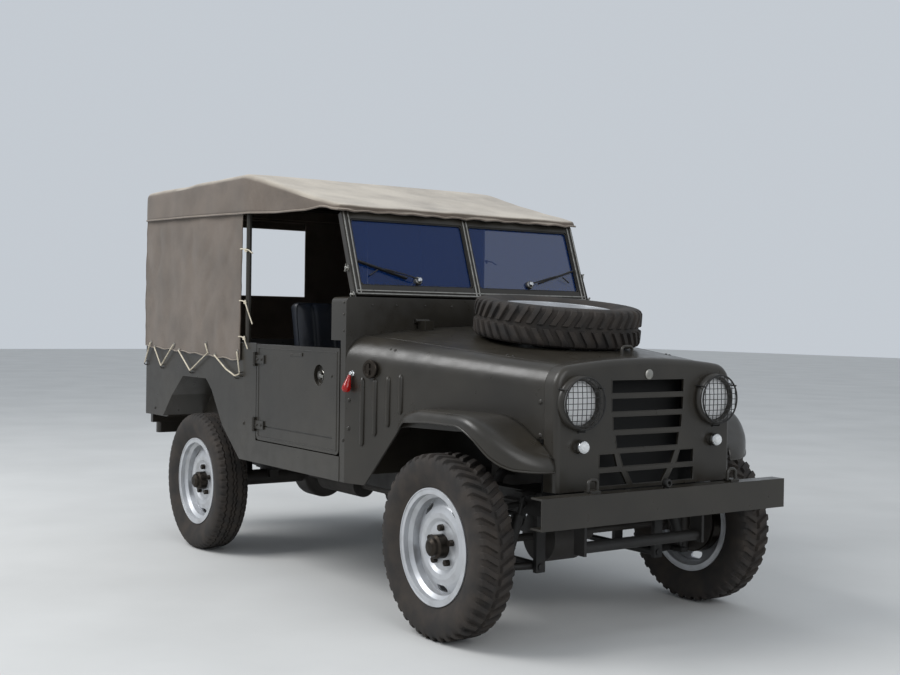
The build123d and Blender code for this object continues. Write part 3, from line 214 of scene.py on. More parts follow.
wheel_paint = metal("aluminium_wheel_paint", "#c3c5c8", 0.38, "#6f6a63", 0.35, metallic=0.55, patch_mm=60)
steel = metal("zinc_plated_steel", "#9c9a94", 0.34)
dark_steel = metal("oily_dark_steel", "#3c3732", 0.42, "#1f1b18", 0.7)
chrome = metal("chromium_plate", "#d8d9da", 0.1, "#8b8882", 0.15)
reflector = metal("silvered_reflector", "#fafbfb", 0.35, "#eceeef", 0.1, metallic=0.15)
print("metals:", wheel_paint.name, steel.name, dark_steel.name, chrome.name, reflector.name)

# %% [markdown]
# **Tyre rubber** is carbon black, dull, and browned by road dust that stays in the grooves and on the walls.
# **Vinyl** on the seats is a navy coated cloth with a pressed leather grain. **Rope** is bleached cotton.


# %% Rubber, vinyl, rope, glass
def dull(name, colour, dusty, roughness, patch_mm, grain_mm, grain_depth_mm, share=0.6, strength=0.5):
    """A dull soft surface in two tones, with a grain of its own size."""
    made, tree, shader = new_material(name, roughness=roughness)
    tones = spread(tree, blotches(tree, patch_mm, 6), 0.35, 0.7, 0, share)
    bump = add(tree, "ShaderNodeBump", {"Height": blotches(tree, grain_mm, 3), "Strength": strength,
                                        "Distance": grain_depth_mm * MM}).outputs[0]
    feed(tree, shader, base_color=blend_colours(tree, tones, colour, dusty), normal=bump)
    return made


tyre_rubber = dull("tyre_rubber", "#221f1d", "#40372f", 0.82, 70, 3, 0.4)
seal_rubber = dull("seal_rubber", "#151413", "#2b2825", 0.7, 60, 3, 0.2)
navy_vinyl = dull("navy_seat_vinyl", "#0a0f18", "#121a26", 0.48, 120, 2.5, 0.3)
cotton_rope = dull("bleached_cotton_rope", "#d9d0bd", "#a99d86", 0.9, 12, 3, 0.6, share=0.8, strength=0.8)
bakelite = dull("black_bakelite", "#141312", "#201d1b", 0.3, 90, 6, 0.05, strength=0.1)
# the radiator is a black part, made near black here as painted shade seen through the slots
shade_black = dull("radiator_painted_shade", "#050505", "#0b0b0a", 0.85, 60, 4, 0.3)
# dark blue glass: a painted reflection of the sky on the panes
clear_glass = new_material("glass_painted_sky_blue", base_color=linear("#0a2a5c"), roughness=0.03, alpha=0.7, ior=1.5)[0]
lens_glass = new_material("lamp_glass", base_color=linear("#fdfefe"), roughness=0.08, alpha=0.5, ior=1.5)[0]
red_glass = new_material("red_lamp_glass", base_color=linear("#b3150f"), roughness=0.12, transmission_weight=0.35,
                         ior=1.5)[0]
print("glasses:", clear_glass.name, lens_glass.name, red_glass.name)

# %% [markdown]
# ** Cotton duck** is a plain weave of thick yarn, waxed and weathered. Its real threads are under a millimetre
# apart and would vanish at this distance, so the weave is drawn at 5 mm, where it still shows as cloth. Faces
# that look up are painted lighter as sunlight, with some sun bleaching, and darker stains run through the sides.


# %% Canvas
WEAVE_MM = 5.0


def canvas_cloth(name, colour, stained, sunlit_and_bleached):
    """Woven cotton duck with stains, a top painted lighter as sunlight with some bleaching, and a plain weave bump."""
    made, tree, shader = new_material(name, roughness=0.92, sheen_weight=0.25, sheen_roughness=0.5)
    place = add(tree, "ShaderNodeTexCoord").outputs["Object"]
    tones = blend_colours(tree, spread(tree, blotches(tree, 160, 8, place), 0.35, 0.7, 0, 0.8), colour, stained)
    patchy = spread(tree, blotches(tree, 240, 5, place), 0.25, 0.6, 0.45, 0.95)
    # upward faces get painted sunlight, which also stands for some sun bleaching
    sun = combine(tree, "MULTIPLY", facing_up(tree), patchy)
    flecks = spread(tree, blotches(tree, 6, 3, place), 0.3, 0.7, 0.86, 1.1)
    sunlit_and_faded = blend_colours(tree, sun, tones, sunlit_and_bleached)
    bright = add(tree, "ShaderNodeHueSaturation", {"Color": sunlit_and_faded, "Value": flecks}).outputs[0]
    threads = [add(tree, "ShaderNodeTexWave", {"Vector": place, "Scale": 0.314 / (WEAVE_MM * MM), "Distortion": 1.5,
                                               "Detail": 2.0, "Detail Scale": 2.0},
                   bands_direction=axis).outputs[1] for axis in ("X", "Y", "Z")]
    weave = combine(tree, "ADD", combine(tree, "ADD", threads[0], threads[1]), threads[2])
    bump = add(tree, "ShaderNodeBump", {"Height": weave, "Strength": 0.35, "Distance": 0.8 * MM}).outputs[0]
    feed(tree, shader, base_color=bright, normal=bump)
    return made


canvas_duck = canvas_cloth("waxed_cotton_duck", "#64584d", "#4d4339", "#c2b8a8")
hem_duck = canvas_cloth("folded_duck_hem", "#776b60", "#5f544b", "#a99d8c")
print("materials:", len(bpy.data.materials))

# %% [markdown]
# ## Dressing the solids
#
# Most solids already have the right shape, so they only take a finish. Shading is smoothed up to a crease angle,
# which leaves the vertices alone. Solids that a new piece will stand for aren't dressed.

# %% Finishes for the solids
CREASE = math.radians(32)
FINISHES = (
    (army_enamel, "front_bumper rear_bumpers floor wheelhouses body_sides scuttle bonnet_sides front_panel "
                  "windscreen_frame seat_bases hood_bows door_right door_left bonnet tailgate"),
    (frame_paint, "chassis_frame cross_members wishbones dampers steering_column propshafts fuel_tank track_rod "
                  "pitman_arm"),
    # radiator near black: painted shade behind the slots
    (shade_black, "radiator"),
    (cast_iron, "front_axle rear_axle powertrain leaf_springs exhaust knuckle_right knuckle_left"),
    (dark_steel, "hub_front_right hub_front_left hub_rear_right hub_rear_left"),
    (wheel_paint, "wheel_front_right wheel_front_left wheel_rear_right wheel_rear_left spare_wheel"),
    (clear_glass, "windscreen_glass"),
    (bakelite, "steering_wheel levers"),
)


def dress(solid, finish):
    """Gives a solid one finish and smooth shading up to the crease angle."""
    solid.data.materials.clear()
    solid.data.materials.append(finish)
    solid.data.polygons.foreach_set("use_smooth", [True] * len(solid.data.polygons))
    solid.data.set_sharp_from_angle(angle=CREASE)


for finish, names in FINISHES:
    for name in names.split():
        dress(solids[name], finish)
print("dressed:", sum(len(names.split()) for _, names in FINISHES))

# %% [markdown]
# New pieces are meshes made from points. Each takes a finish, rides on a body and gets the material slot that goes
# with its finish. Right and left fittings come from one loop over both hands.

# %% Helpers for new pieces
HANDS = ((-1, "right"), (1, "left"))
SIDES = (-1, 1)


def circle(steps):
    """Angles all round, the first again at the end."""
    return [2 * math.pi * k / steps for k in range(steps + 1)]


def finished(name, mesh, finish, body, crease):
    """An object for a mesh, dressed, on its body and with its slot."""
    made = bpy.data.objects.new(name, mesh)
    bpy.context.scene.collection.objects.link(made)
    dress(made, finish)
    if crease is not None:
        mesh.set_sharp_from_angle(angle=crease)
    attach(made, body)
    return made


def piece(name, points, faces, finish, body="chassis", crease=CREASE, slot=None):
    """A new mesh piece from points in metres, riding on a body."""
    mesh = bpy.data.meshes.new(name)
    mesh.from_pydata([tuple(p) for p in points], [], faces)
    mesh.validate()
    work = bmesh.new()
    work.from_mesh(mesh)
    bmesh.ops.recalc_face_normals(work, faces=work.faces)
    work.to_mesh(mesh)
    work.free()
    return finished(name, mesh, finish, body, crease)


def grid_faces(rows, columns, close_rows=False, close_columns=False):
    """Quads over a grid of points stored row by row."""
    faces = []
    for i in range(rows if close_rows else rows - 1):
        for j in range(columns if close_columns else columns - 1):
            a, b = i % rows, (i + 1) % rows
            c, d = j % columns, (j + 1) % columns
            faces.append((a * columns + c, a * columns + d, b * columns + d, b * columns + c))
    return faces


# %% [markdown]
# Cloth and pressed steel are thin sheets, and rope and wire are round. A modifier gives a sheet its thickness, so
# the mesh stays a simple grid. A wire is drawn as a curve with a round section and turned into a mesh at once.


# %% Sheets and wires
WIRE_CREASE = math.radians(60)


def soften(thing):
    """Rounds a grid once."""
    soft = thing.modifiers.new("soft", "SUBSURF")
    soft.levels = soft.render_levels = 1


def thicken(thing, thickness_mm, offset):
    """Gives a sheet its thickness: inwards for an offset of -1, to both sides for 0."""
    thick = thing.modifiers.new("thick", "SOLIDIFY")
    thick.thickness = thickness_mm * MM
    thick.offset = offset


def wire(name, runs, radius_mm, finish, body="chassis", fine=2, smooth=False):
    """A round wire or rope along one or more runs of points in metres."""
    curve = bpy.data.curves.new(name, "CURVE")
    curve.dimensions = "3D"
    curve.bevel_depth = radius_mm * MM
    curve.bevel_resolution = fine
    curve.use_fill_caps = True
    for run in runs:
        line = curve.splines.new("NURBS" if smooth else "POLY")
        line.points.add(len(run) - 1)
        for point, at in zip(line.points, run):
            point.co = (*at, 1)
        if smooth:
            line.order_u = 3
            line.use_endpoint_u = True
    shaped = bpy.data.objects.new(name + "_line", curve)
    bpy.context.scene.collection.objects.link(shaped)
    bpy.context.view_layer.update()
    mesh = bpy.data.meshes.new_from_object(shaped.evaluated_get(bpy.context.evaluated_depsgraph_get()))
    bpy.data.objects.remove(shaped)
    return finished(name, mesh, finish, body, WIRE_CREASE)


print("crease of a wire:", round(math.degrees(WIRE_CREASE)), "degrees")

# %% [markdown]
# ## Tyres
#
# The front and spare tyres are cross-country ones: slanted lugs in two rows, half a pitch apart, that run over
# the shoulder and end as scallops on the wall. A tyre is a ring of profile points; leaning the columns of the
# grid along the lugs keeps every lug edge crisp without a boolean.

# %% Cross-country tyre
LUGS = 44
# shares of a lug pitch: the first half is the groove, the second the lug
LUG_STEPS = (0.0, 0.14, 0.28, 0.42, 0.5, 0.64, 0.78, 0.92)
# across and radius of the carcass in mm, and the height of a lug there
LUG_SECTION = (
    (50, 206, 0), (58, 224, 0), (70, 246, 0), (78.5, 275, 0), (81, 298, 0), (80.5, 306, 1.5), (79.5, 316, 3.0),
    (76, 327, 5.5), (70, 334, 9.0), (60, 337, 12.0), (44, 338, 12.0), (26, 338, 12.0), (10, 338, 12.0),
    (6, 338, 0.0), (0, 338, 0.0))
LEAN = 0.75


def both_walls(section):
    """A half section from wall to middle, with its mirror image."""
    return [(-a, r, h) for a, r, h in section] + list(reversed(section[:-1]))


def lug_tyre(centre, tilt):
    """Points of a cross-country tyre round its own y axis, then tilted and placed."""
    section = both_walls(LUG_SECTION)
    points = []
    for across, radius, height in section:
        shear = LEAN * min(abs(across), 62) / 62 + (0.5 if across > 0 else 0.0)
        for pitch in range(LUGS):
            for step in LUG_STEPS:
                turn = 2 * math.pi * (pitch + step + shear) / LUGS
                reach = (radius + (height if step >= 0.5 else 0.0)) * MM
                points.append(Vector((reach * math.cos(turn), across * MM, reach * math.sin(turn))))
    columns = LUGS * len(LUG_STEPS)
    return [centre + tilt @ p for p in points], grid_faces(len(section), columns, True, True)


print("points of a lug tyre:", len(both_walls(LUG_SECTION)) * LUGS * len(LUG_STEPS))

# %% [markdown]
# The rear pair has a road tread: ribs between four zigzag grooves, with small notches at the shoulders. Here the
# columns stay straight, and points near the middle move to and fro sideways, which draws the zigzag.

# %% Road tyre
ROAD_SECTION = (
    (50, 206, 0), (58, 224, 0), (70, 246, 0), (78.5, 275, 0), (82, 300, 0), (81, 316, 0), (76, 330, 3), (70, 337, 5),
    (62, 340, 7), (47, 341, 9), (45, 341, 0), (40, 341, 0), (38, 341, 9), (14, 341, 9), (12, 341, 0),
    (6, 341, 0), (4, 341, 9), (0, 341, 9))
ZIGZAGS = 60
ZIG_STEPS = 6


def road_tyre(centre, tilt):
    """Points of a road tyre: ribs between zigzag grooves, notched at the shoulders."""
    section = both_walls(ROAD_SECTION)
    points = []
    for across, radius, height in section:
        for step in range(ZIGZAGS * ZIG_STEPS):
            phase = (step % ZIG_STEPS) / ZIG_STEPS
            zig = (abs(phase - 0.5) * 4 - 1) * 4.0 if abs(across) < 50 else 0.0
            notch = 0.0 if abs(across) > 50 and phase < 0.3 else 1.0
            turn = 2 * math.pi * step / (ZIGZAGS * ZIG_STEPS)
            reach = (radius + height * notch) * MM
            points.append(Vector((reach * math.cos(turn), (across + zig) * MM, reach * math.sin(turn))))
    return [centre + tilt @ p for p in points], grid_faces(len(section), ZIGZAGS * ZIG_STEPS, True, True)


print("points of a road tyre:", len(both_walls(ROAD_SECTION)) * ZIGZAGS * ZIG_STEPS)

# %% [markdown]
# A tyre goes to the middle of its solid, turns with that wheel and stands for the solid. The spare lies on the bonnet,
# so it is tilted by as much as the lid falls to the front.


# %% Fit the tyres
def middle(node):
    """The middle of a solid's box."""
    low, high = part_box(node)
    return (low + high) / 2


# the lid falls from 1178 to 1069 mm over the length of the engine bay
BONNET_FALL = math.atan2(1178 - 1069, 1554 - 555)
LAID_FLAT = Matrix.Rotation(BONNET_FALL, 3, "Y") @ Matrix.Rotation(-math.pi / 2, 3, "X")
UPRIGHT = Matrix.Identity(3)
TYRES = [(f"tyre_{end}_{hand}", f"wheel_{end}_{hand}", shape, UPRIGHT)
         for end, shape in (("front", lug_tyre), ("rear", road_tyre)) for _, hand in HANDS]
TYRES.append(("spare_tyre", "bonnet", lug_tyre, LAID_FLAT))
for node, body, shape, tilt in TYRES:
    tread = piece("tread_" + node, *shape(middle(node), tilt), tyre_rubber, body, math.radians(28))
    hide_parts(node)
print("tyres:", len(TYRES), "with", LUGS, "lugs a row")

# %% [markdown]
# ## Canvas hood
#
# The hood is one sewn sheet pulled over three bows and the windscreen header. It is flat where it is stretched,
# sags a little between the bows, rolls over at the edges and hangs down as a valance. A ring of plan points runs
# round the sheet; from a spine in the middle, rings of points step outwards, over the roll and down the valance.
# Noise along the surface gives the slack and the creases that a simulation would only smooth away.

# %% Hood shape
hood_low, hood_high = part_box("canvas_roof")
HOOD_FRONT, HOOD_REAR = hood_high.x / MM, hood_low.x / MM
HOOD_HALF, HOOD_TOP = hood_high.y / MM, hood_high.z / MM
BOW_X, MID_BOW_X = -425, -1050
FRONT_HALF, FRONT_TOP = 672, 1697
# along the car and how low the valance hangs there, in mm
VALANCE = ((-1720, 1742), (-1600, 1738), (-956, 1722), (-425, 1704), (-364, 1703), (-100, 1690), (146, 1687),
           (260, 1697), (330, 1688), (400, 1668))
STRETCHED_TOP = HOOD_TOP + 18
SAG, EDGE_DROP = 11, 4
FRONT_HEM, SCALLOP, SCALLOP_PITCH = 1668, 7, 118


def between(table, x):
    """Straight-line value of a table of pairs at x."""
    for (x0, v0), (x1, v1) in zip(table, table[1:]):
        if x <= x1:
            return v0 + (v1 - v0) * max(0.0, (x - x0) / (x1 - x0))
    return table[-1][1]


def hood_half(x):
    """Half the hood's width, which narrows towards the screen."""
    return between(((BOW_X, HOOD_HALF), (HOOD_FRONT, FRONT_HALF)), x)


def hood_crest(x, y):
    """Height of the stretched top: straight between bows, with a sag that grows towards the middle."""
    line = between(((HOOD_REAR, STRETCHED_TOP), (BOW_X, STRETCHED_TOP), (HOOD_FRONT, FRONT_TOP)), x)
    stops = (HOOD_REAR, MID_BOW_X, BOW_X, HOOD_FRONT)
    sag = 0.0
    for rear, front in zip(stops, stops[1:]):
        if rear <= x <= front:
            sag = SAG * math.sin(math.pi * (x - rear) / (front - rear))
    across = max(0.0, 1 - (y / HOOD_HALF) ** 2)
    return line - sag * across - EDGE_DROP * (y / HOOD_HALF) ** 4


print("hood:", round(HOOD_FRONT - HOOD_REAR), "mm long,", round(2 * HOOD_HALF), "mm wide")

# %% [markdown]
# Seen from above, the hood is a long rectangle that narrows over the screen. Its edge is walked once, and each point
# keeps the way inwards, so that the roll over the edge can be built without looking for normals.


# %% Hood outline
def hood_outline():
    """Plan points of the hood's edge with the way inwards, clockwise from the front right corner."""
    side = [HOOD_FRONT + (HOOD_REAR - HOOD_FRONT) * i / 58 for i in range(1, 58)]
    back = [HOOD_HALF * (2 * i / 36 - 1) for i in range(1, 36)]
    front = [FRONT_HALF * (1 - 2 * i / 36) for i in range(1, 36)]
    corner = 0.7071
    ring = [((HOOD_FRONT - 5, -FRONT_HALF + 5), (-corner, corner))]
    ring += [((x, -hood_half(x)), (0, 1)) for x in side]
    ring += [((HOOD_REAR + 9, -HOOD_HALF + 9), (corner, corner))]
    ring += [((HOOD_REAR, y), (1, 0)) for y in back]
    ring += [((HOOD_REAR + 9, HOOD_HALF - 9), (corner, -corner))]
    ring += [((x, hood_half(x)), (0, -1)) for x in reversed(side)]
    ring += [((HOOD_FRONT - 5, FRONT_HALF - 5), (-corner, -corner))]
    ring += [((HOOD_FRONT, y), (-1, 0)) for y in front]
    return ring


print("points of the edge:", len(hood_outline()))

# %% [markdown]
# From each point of the edge a spoke runs in to the spine, and the other way over the roll and down the valance. The
# same step on all spokes makes one ring. Two sizes of noise give wide slack and short creases.


# %% Spokes and folds
def slack(x, y, z, size_mm, depth_mm):
    """A smooth crease field in mm."""
    return depth_mm * noise.noise(Vector((x, y, z)) / size_mm)


def hood_points():
    """Rings of points from the spine out to the hem."""
    ring = hood_outline()
    spokes = []
    for (x, y), (inward_x, inward_y) in ring:
        at_front = x > HOOD_FRONT - 20
        roll = 16 if at_front else between(((BOW_X, 36), (HOOD_FRONT, 20)), x)
        spine_x = min(max(x, HOOD_REAR + 380), HOOD_FRONT - 260)
        edge_x, edge_y = x + inward_x * roll, y + inward_y * roll
        spoke = []
        for share in (0.0, 0.2, 0.4, 0.6, 0.8, 0.92):
            px, py = spine_x + (edge_x - spine_x) * share, edge_y * share
            spoke.append((px, py, hood_crest(px, py)))
        crest = hood_crest(edge_x, edge_y)
        for degrees in (0, 22, 45, 68, 90):
            turn = math.radians(degrees)
            out = roll * (1 - math.sin(turn))
            spoke.append((x + inward_x * out, y + inward_y * out, crest - roll * (1 - math.cos(turn))))
        low = between(VALANCE, x) if not at_front else FRONT_HEM + SCALLOP * abs(math.sin(math.pi * y / SCALLOP_PITCH))
        for share in (0.25, 0.5, 0.75, 1.0):
            flare = 5 * share * (1 + math.sin((x + y) / 62)) * (1.0 if x > BOW_X else 0.45)
            z = crest - roll + (low - crest + roll) * share
            spoke.append((x - inward_x * flare, y - inward_y * flare, z))
        spokes.append(spoke)
    rings = []
    for k in range(len(spokes[0])):
        row = []
        for spoke in spokes:
            x, y, z = spoke[k]
            loose = 1.0 if k > 6 else 0.6
            puff = loose * (slack(x, y, z, 210, 7) + slack(x + 40, 1.6 * y, z, 70, 2.5))
            if k > 8:
                row.append(mm(x, y + math.copysign(abs(puff) * 0.6, y), z))
            else:
                row.append(mm(x, y, min(z + puff, STRETCHED_TOP + 4)))
        rings.append(row)
    return rings


rings = hood_points()
print("rings:", len(rings), "of", len(rings[0]), "points")

# %% [markdown]
# The rings become one sheet. Its spine, where both halves meet, is welded, and a modifier gives the cloth its
# thickness. The hem is a folded edge, drawn as a round cord of the same cloth.


def clothe(sheet, thickness_mm=2.2):
    """Rounds a sheet's grid once and gives it the thickness of the cloth, inwards."""
    soften(sheet)
    thicken(sheet, thickness_mm, -1)


hood = piece("canvas_hood", [p for row in rings for p in row], grid_faces(len(rings), len(rings[0]), False, True),
             canvas_duck, crease=None)
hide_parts("canvas_roof")
# the two halves meet along the spine, where their points are made one
weld = bmesh.new()
weld.from_mesh(hood.data)
bmesh.ops.remove_doubles(weld, verts=weld.verts, dist=0.05 * MM)
weld.to_mesh(hood.data)
weld.free()
clothe(hood)
hem = wire("canvas_hood_hem", [rings[-1] + rings[-1][:1]], 4.5, hem_duck)

# %% [markdown]
# The side curtains hang outside the bows and overlap the body's top edge. Each is tied to the front bow and laced
# down with rope, zigzag, from eyelets in a wide hem to hooks on the body. A grid with folds of sines and noise is
# enough here, because a tight curtain hardly moves.

# %% Side curtains
CURTAIN_Y = 725.0
# rear bottom, front bottom, front top, rear top of a side curtain as x and z in mm
CURTAIN = ((-1690, 1038), (-455, 996), (-443, 1800), (-1686, 1800))
COLUMNS, ROWS = 60, 40
CURTAIN_FLAT, CURTAIN_CLOTH = (1.26, 0.82), 1.8


def curtain_point(across, rise, side):
    """A point of a side curtain: across from rear to front, rise from hem to top, both 0 to 1."""
    low = [a + (b - a) * across for a, b in zip(CURTAIN[0], CURTAIN[1])]
    high = [a + (b - a) * across for a, b in zip(CURTAIN[3], CURTAIN[2])]
    x, z = (a + (b - a) * rise for a, b in zip(low, high))
    loose = 1 - rise
    pleat = 5.0 * (0.25 + loose) * (0.5 + 0.5 * math.sin(across * 31 + 3 * loose))
    crease = abs(slack(x + 300 * side, z, 0, 150, 7)) + abs(slack(x, 1.4 * z, 90, 48, 2.2))
    tucked = min(1.0, max(0.0, (1720 - z) / 60))
    scallop = -7 * math.sin(across * math.pi * 7) ** 2 * max(0.0, 1 - rise * 12)
    return mm(x, side * (CURTAIN_Y + tucked * (pleat * 0.6 + crease)), z + scallop)


def side_curtain(side, name):
    """A side curtain with its hem."""
    points = [curtain_point(j / COLUMNS, i / ROWS, side) for i in range(ROWS + 1) for j in range(COLUMNS + 1)]
    sheet = piece(name, points, grid_faces(ROWS + 1, COLUMNS + 1), canvas_duck, crease=None)
    clothe(sheet, CURTAIN_CLOTH)
    edge = [curtain_point(0, 1 - i / ROWS, side) for i in range(ROWS)]
    edge += [curtain_point(j / COLUMNS, 0, side) for j in range(COLUMNS)]
    edge += [curtain_point(1, i / ROWS, side) for i in range(ROWS)]
    hem = wire(name + "_hem", [edge], 3.2, hem_duck)
    return sheet


curtains = [side_curtain(side, "curtain_" + hand) for side, hand in HANDS]

# %% [markdown]
# The rear curtain closes the back. It has a window with a hemmed edge, which is cut by leaving out the faces whose
# middle lies in it.

# %% Rear curtain
REAR_X = hood_low.x / MM + 8
REAR_HALF, REAR_LOW, REAR_TOP = 717, 1079, 1800
WINDOW_HALF, WINDOW_LOW, WINDOW_TOP = 283, 1328, 1782


def rear_point(across, rise):
    """A point of the rear curtain: across from right to left, rise from hem to top, both 0 to 1."""
    y, z = REAR_HALF * (2 * across - 1), REAR_LOW + (REAR_TOP - REAR_LOW) * rise
    pleat = 5 * (1 - rise) * math.sin(across * 37) ** 2 + abs(slack(y, z, 50, 140, 6))
    return mm(REAR_X + pleat * 0.5, y, z)


def in_window(face, points):
    """True for a face whose middle lies in the window."""
    middle_of_face = sum((points[i] for i in face), Vector()) / len(face) / MM
    return abs(middle_of_face.y) < WINDOW_HALF and WINDOW_LOW < middle_of_face.z < WINDOW_TOP


points = [rear_point(j / COLUMNS, i / ROWS) for i in range(ROWS + 1) for j in range(COLUMNS + 1)]
panes = [face for face in grid_faces(ROWS + 1, COLUMNS + 1) if not in_window(face, points)]
rear_curtain = piece("curtain_rear", points, panes, canvas_duck, crease=None)
clothe(rear_curtain, CURTAIN_CLOTH)
span, tall = 2 * REAR_HALF, REAR_TOP - REAR_LOW
near, far = (round((0.5 + way * WINDOW_HALF / span) * COLUMNS) / COLUMNS for way in (-1, 1))
sill, lintel = (round((z - REAR_LOW) / tall * ROWS) / ROWS for z in (WINDOW_LOW, WINDOW_TOP))
corners = ((near, sill), (far, sill), (far, lintel), (near, lintel), (near, sill))
ring = [rear_point(near, sill)]
for (u0, v0), (u1, v1), steps in zip(corners, corners[1:], (24, 18, 24, 18)):
    ring += [rear_point(u0 + (u1 - u0) * k / steps, v0 + (v1 - v0) * k / steps) for k in range(1, steps + 1)]
hem_runs = [[rear_point(j / COLUMNS, 0) for j in range(COLUMNS + 1)], ring]
rear_hem = wire("curtain_rear_hem", hem_runs, 3.2, hem_duck)
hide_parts("canvas_sides")

# %% [markdown]
# The lacing is drawn tight, so it is straight from eyelet to hook, and it is rigging that belongs to the car. The
# points are read off the photograph on the plane of the body's side.

# %% Lacing, hooks and eyelets
# x and z in mm along one side, rear to front
LACES = (
    ((-1600, 1054), (-1690, 940)),
    ((-1539, 1030), (-1448, 929), (-1267, 1050)),
    ((-1196, 1022), (-1046, 919), (-813, 1020), (-845, 1065)),
    ((-732, 1010), (-600, 945), (-495, 916)),
    ((-467, 1035), (-442, 928), (-495, 916)),
)
HOOKS = ((-1690, 938), (-1448, 927), (-1046, 917), (-495, 914), (-442, 926))
ROPE_R, ROPE_Y, EYELET_R, HEM_Z = 4.0, 735.0, 8, 1000
# a hook in section: how far out and how high over its place, in mm
HOOK = ((719, 10), (733, 8), (736, -6), (730, -10), (719, -10))
for side, hand in HANDS:
    runs = []
    for lace in LACES:
        runs.append([mm(x, side * (ROPE_Y + (3 if z > HEM_Z else -1)), z) for x, z in lace])
    wire("lacing_" + hand, runs, ROPE_R, cotton_rope)
    rings = []
    for lace in LACES:
        for x, z in (lace[0], lace[-1]):
            if z > HEM_Z:
                rings.append([mm(x + EYELET_R * math.cos(a), side * (ROPE_Y - 0.5), z + EYELET_R * math.sin(a))
                              for a in circle(14)])
    wire("eyelets_" + hand, rings, 2.2, steel)
    hook = [[mm(x, side * out, z + rise) for out, rise in HOOK] for x, z in HOOKS]
    wire("lacing_hooks_" + hand, hook, 3.0, army_enamel)
print("laces:", len(LACES), "a side")

# %% [markdown]
# The front edge of each curtain is tied to the first bow with short lengths of the same rope, each with a knot and
# a loose tail.

# %% Curtain ties
# x and z in mm where a tie leaves the curtain, and where its tail ends
KNOT_TURNS = [k * 0.6 for k in range(11)]
TIES = (((-412, 1527), (-329, 1509)), ((-415, 1276), (-324, 1171)), ((-421, 1102), (-372, 1050)))
for side, hand in HANDS:
    runs, knots = [], []
    for (x, z), (tail_x, tail_z) in TIES:
        start = Vector((x - 42, side * 733, z + 6))
        knot = Vector((x, side * 722, z))
        tail = Vector((tail_x, side * 727, tail_z))
        runs.append([p * MM for p in (start, start.lerp(knot, 0.5) + Vector((0, side * 4, 6)), knot)])
        bent = knot.lerp(tail, 0.4) + Vector((0, side * 5, 10))
        runs.append([p * MM for p in (knot, bent, knot.lerp(tail, 0.8), tail)])
        loop = [Vector((9 * math.cos(a), side * 3 * math.sin(2 * a), 8 * math.sin(a))) for a in KNOT_TURNS]
        knots.append([(knot + p) * MM for p in loop])
    wire("curtain_ties_" + hand, runs + knots, 3.2, cotton_rope, smooth=True)
print("ties:", len(TIES), "a side")

# %% [markdown]
# ## Seats
#
# The seats are navy vinyl over rubberised hair on a spring case: a squab and a back rest a side, and a narrow bench
# over each wheelhouse. Each pad starts as a rounded box, is remeshed evenly and blown up a little as cloth, which
# gives the crown and the sides that pull in between corners. A cap limits how far it swells. Pleats are pressed in
# after that, because they are as narrow as the remesh, and a piped seam follows the edge. The right pads are mirror
# copies of the left ones.

# %% A box to swell
VOXEL_MM, CORNER_MM, SHRINK_MM = 9.0, 22, 8


def pad_box(size):
    """A rounded box of the size given in mm, a little smaller all round."""
    work = bmesh.new()
    bmesh.ops.create_cube(work, size=1.0)
    bmesh.ops.scale(work, vec=Vector([s - 2 * SHRINK_MM for s in size]) * MM, verts=work.verts)
    bmesh.ops.bevel(work, geom=list(work.edges), offset=CORNER_MM * MM, segments=4, affect="EDGES", profile=0.5)
    mesh = bpy.data.meshes.new("pad")
    work.to_mesh(mesh)
    work.free()
    box = bpy.data.objects.new("pad", mesh)
    bpy.context.scene.collection.objects.link(box)
    even = box.modifiers.new("even", "REMESH")
    even.mode = "VOXEL"
    even.voxel_size = VOXEL_MM * MM
    bpy.context.view_layer.update()
    evened = bpy.data.meshes.new_from_object(box.evaluated_get(bpy.context.evaluated_depsgraph_get()))
    box.modifiers.clear()
    box.data = evened
    return box


print("pads are remeshed to", VOXEL_MM, "mm")

# %% [markdown]
# A stuffed cover is under a little pressure from inside. Blender's cloth has a pressure setting for that, and a few
# frames are enough.


# %% Swell it as cloth
CAP_MM, FRAMES = 13, 20


def blow_up(box):
    """Swells a closed mesh as cloth and returns its points, none moved further than the cap."""
    start = [v.co.copy() for v in box.data.vertices]
    cloth = box.modifiers.new("cloth", "CLOTH")
    cloth.settings.quality = 4
    cloth.settings.mass = 0.2
    cloth.settings.tension_stiffness = cloth.settings.compression_stiffness = 12
    cloth.settings.bending_stiffness = 0.4
    cloth.settings.use_pressure = True
    cloth.settings.uniform_pressure_force = 4.0
    cloth.settings.effector_weights.gravity = 0.0
    cloth.point_cache.frame_end = FRAMES
    for step in range(1, FRAMES + 1):
        bpy.context.scene.frame_set(step)
    swollen = box.evaluated_get(bpy.context.evaluated_depsgraph_get()).data
    ends = [v.co.copy() for v in swollen.vertices]
    box.modifiers.clear()
    bpy.context.scene.frame_set(1)
    moved = []
    for a, b in zip(start, ends):
        step = b - a
        moved.append(a + step * min(1.0, CAP_MM * MM / max(step.length, 1e-9)))
    return moved


print("cloth runs for", FRAMES, "frames and moves up to", CAP_MM, "mm")

# %% [markdown]
# Sewn channels run along the squab and the back. Piping hides the seam between top and border: a cord in a strip of
# vinyl, laid where the nearest point of the swollen skin is.


# %% Pleats and piping
PIPING_R, SEAM_STEPS = 3.5, 96


def pleated(points, size, pleats):
    """Presses sewn channels into the top, running along the pad, and flattens the underside."""
    half_width, half_height = size[1] / 2 * MM, size[2] / 2 * MM
    made = []
    for p in points:
        p = p.copy()
        if p.z > 0:
            for k in range(1, pleats):
                off = (p.y - half_width * (2 * k / pleats - 1)) / (9 * MM)
                inside = min(1.0, max(0.0, (size[0] / 2 * MM - abs(p.x)) / (30 * MM)))
                p.z -= 7 * MM * math.exp(-off * off) * inside
        p.z = max(p.z, -half_height)
        made.append(p)
    return made


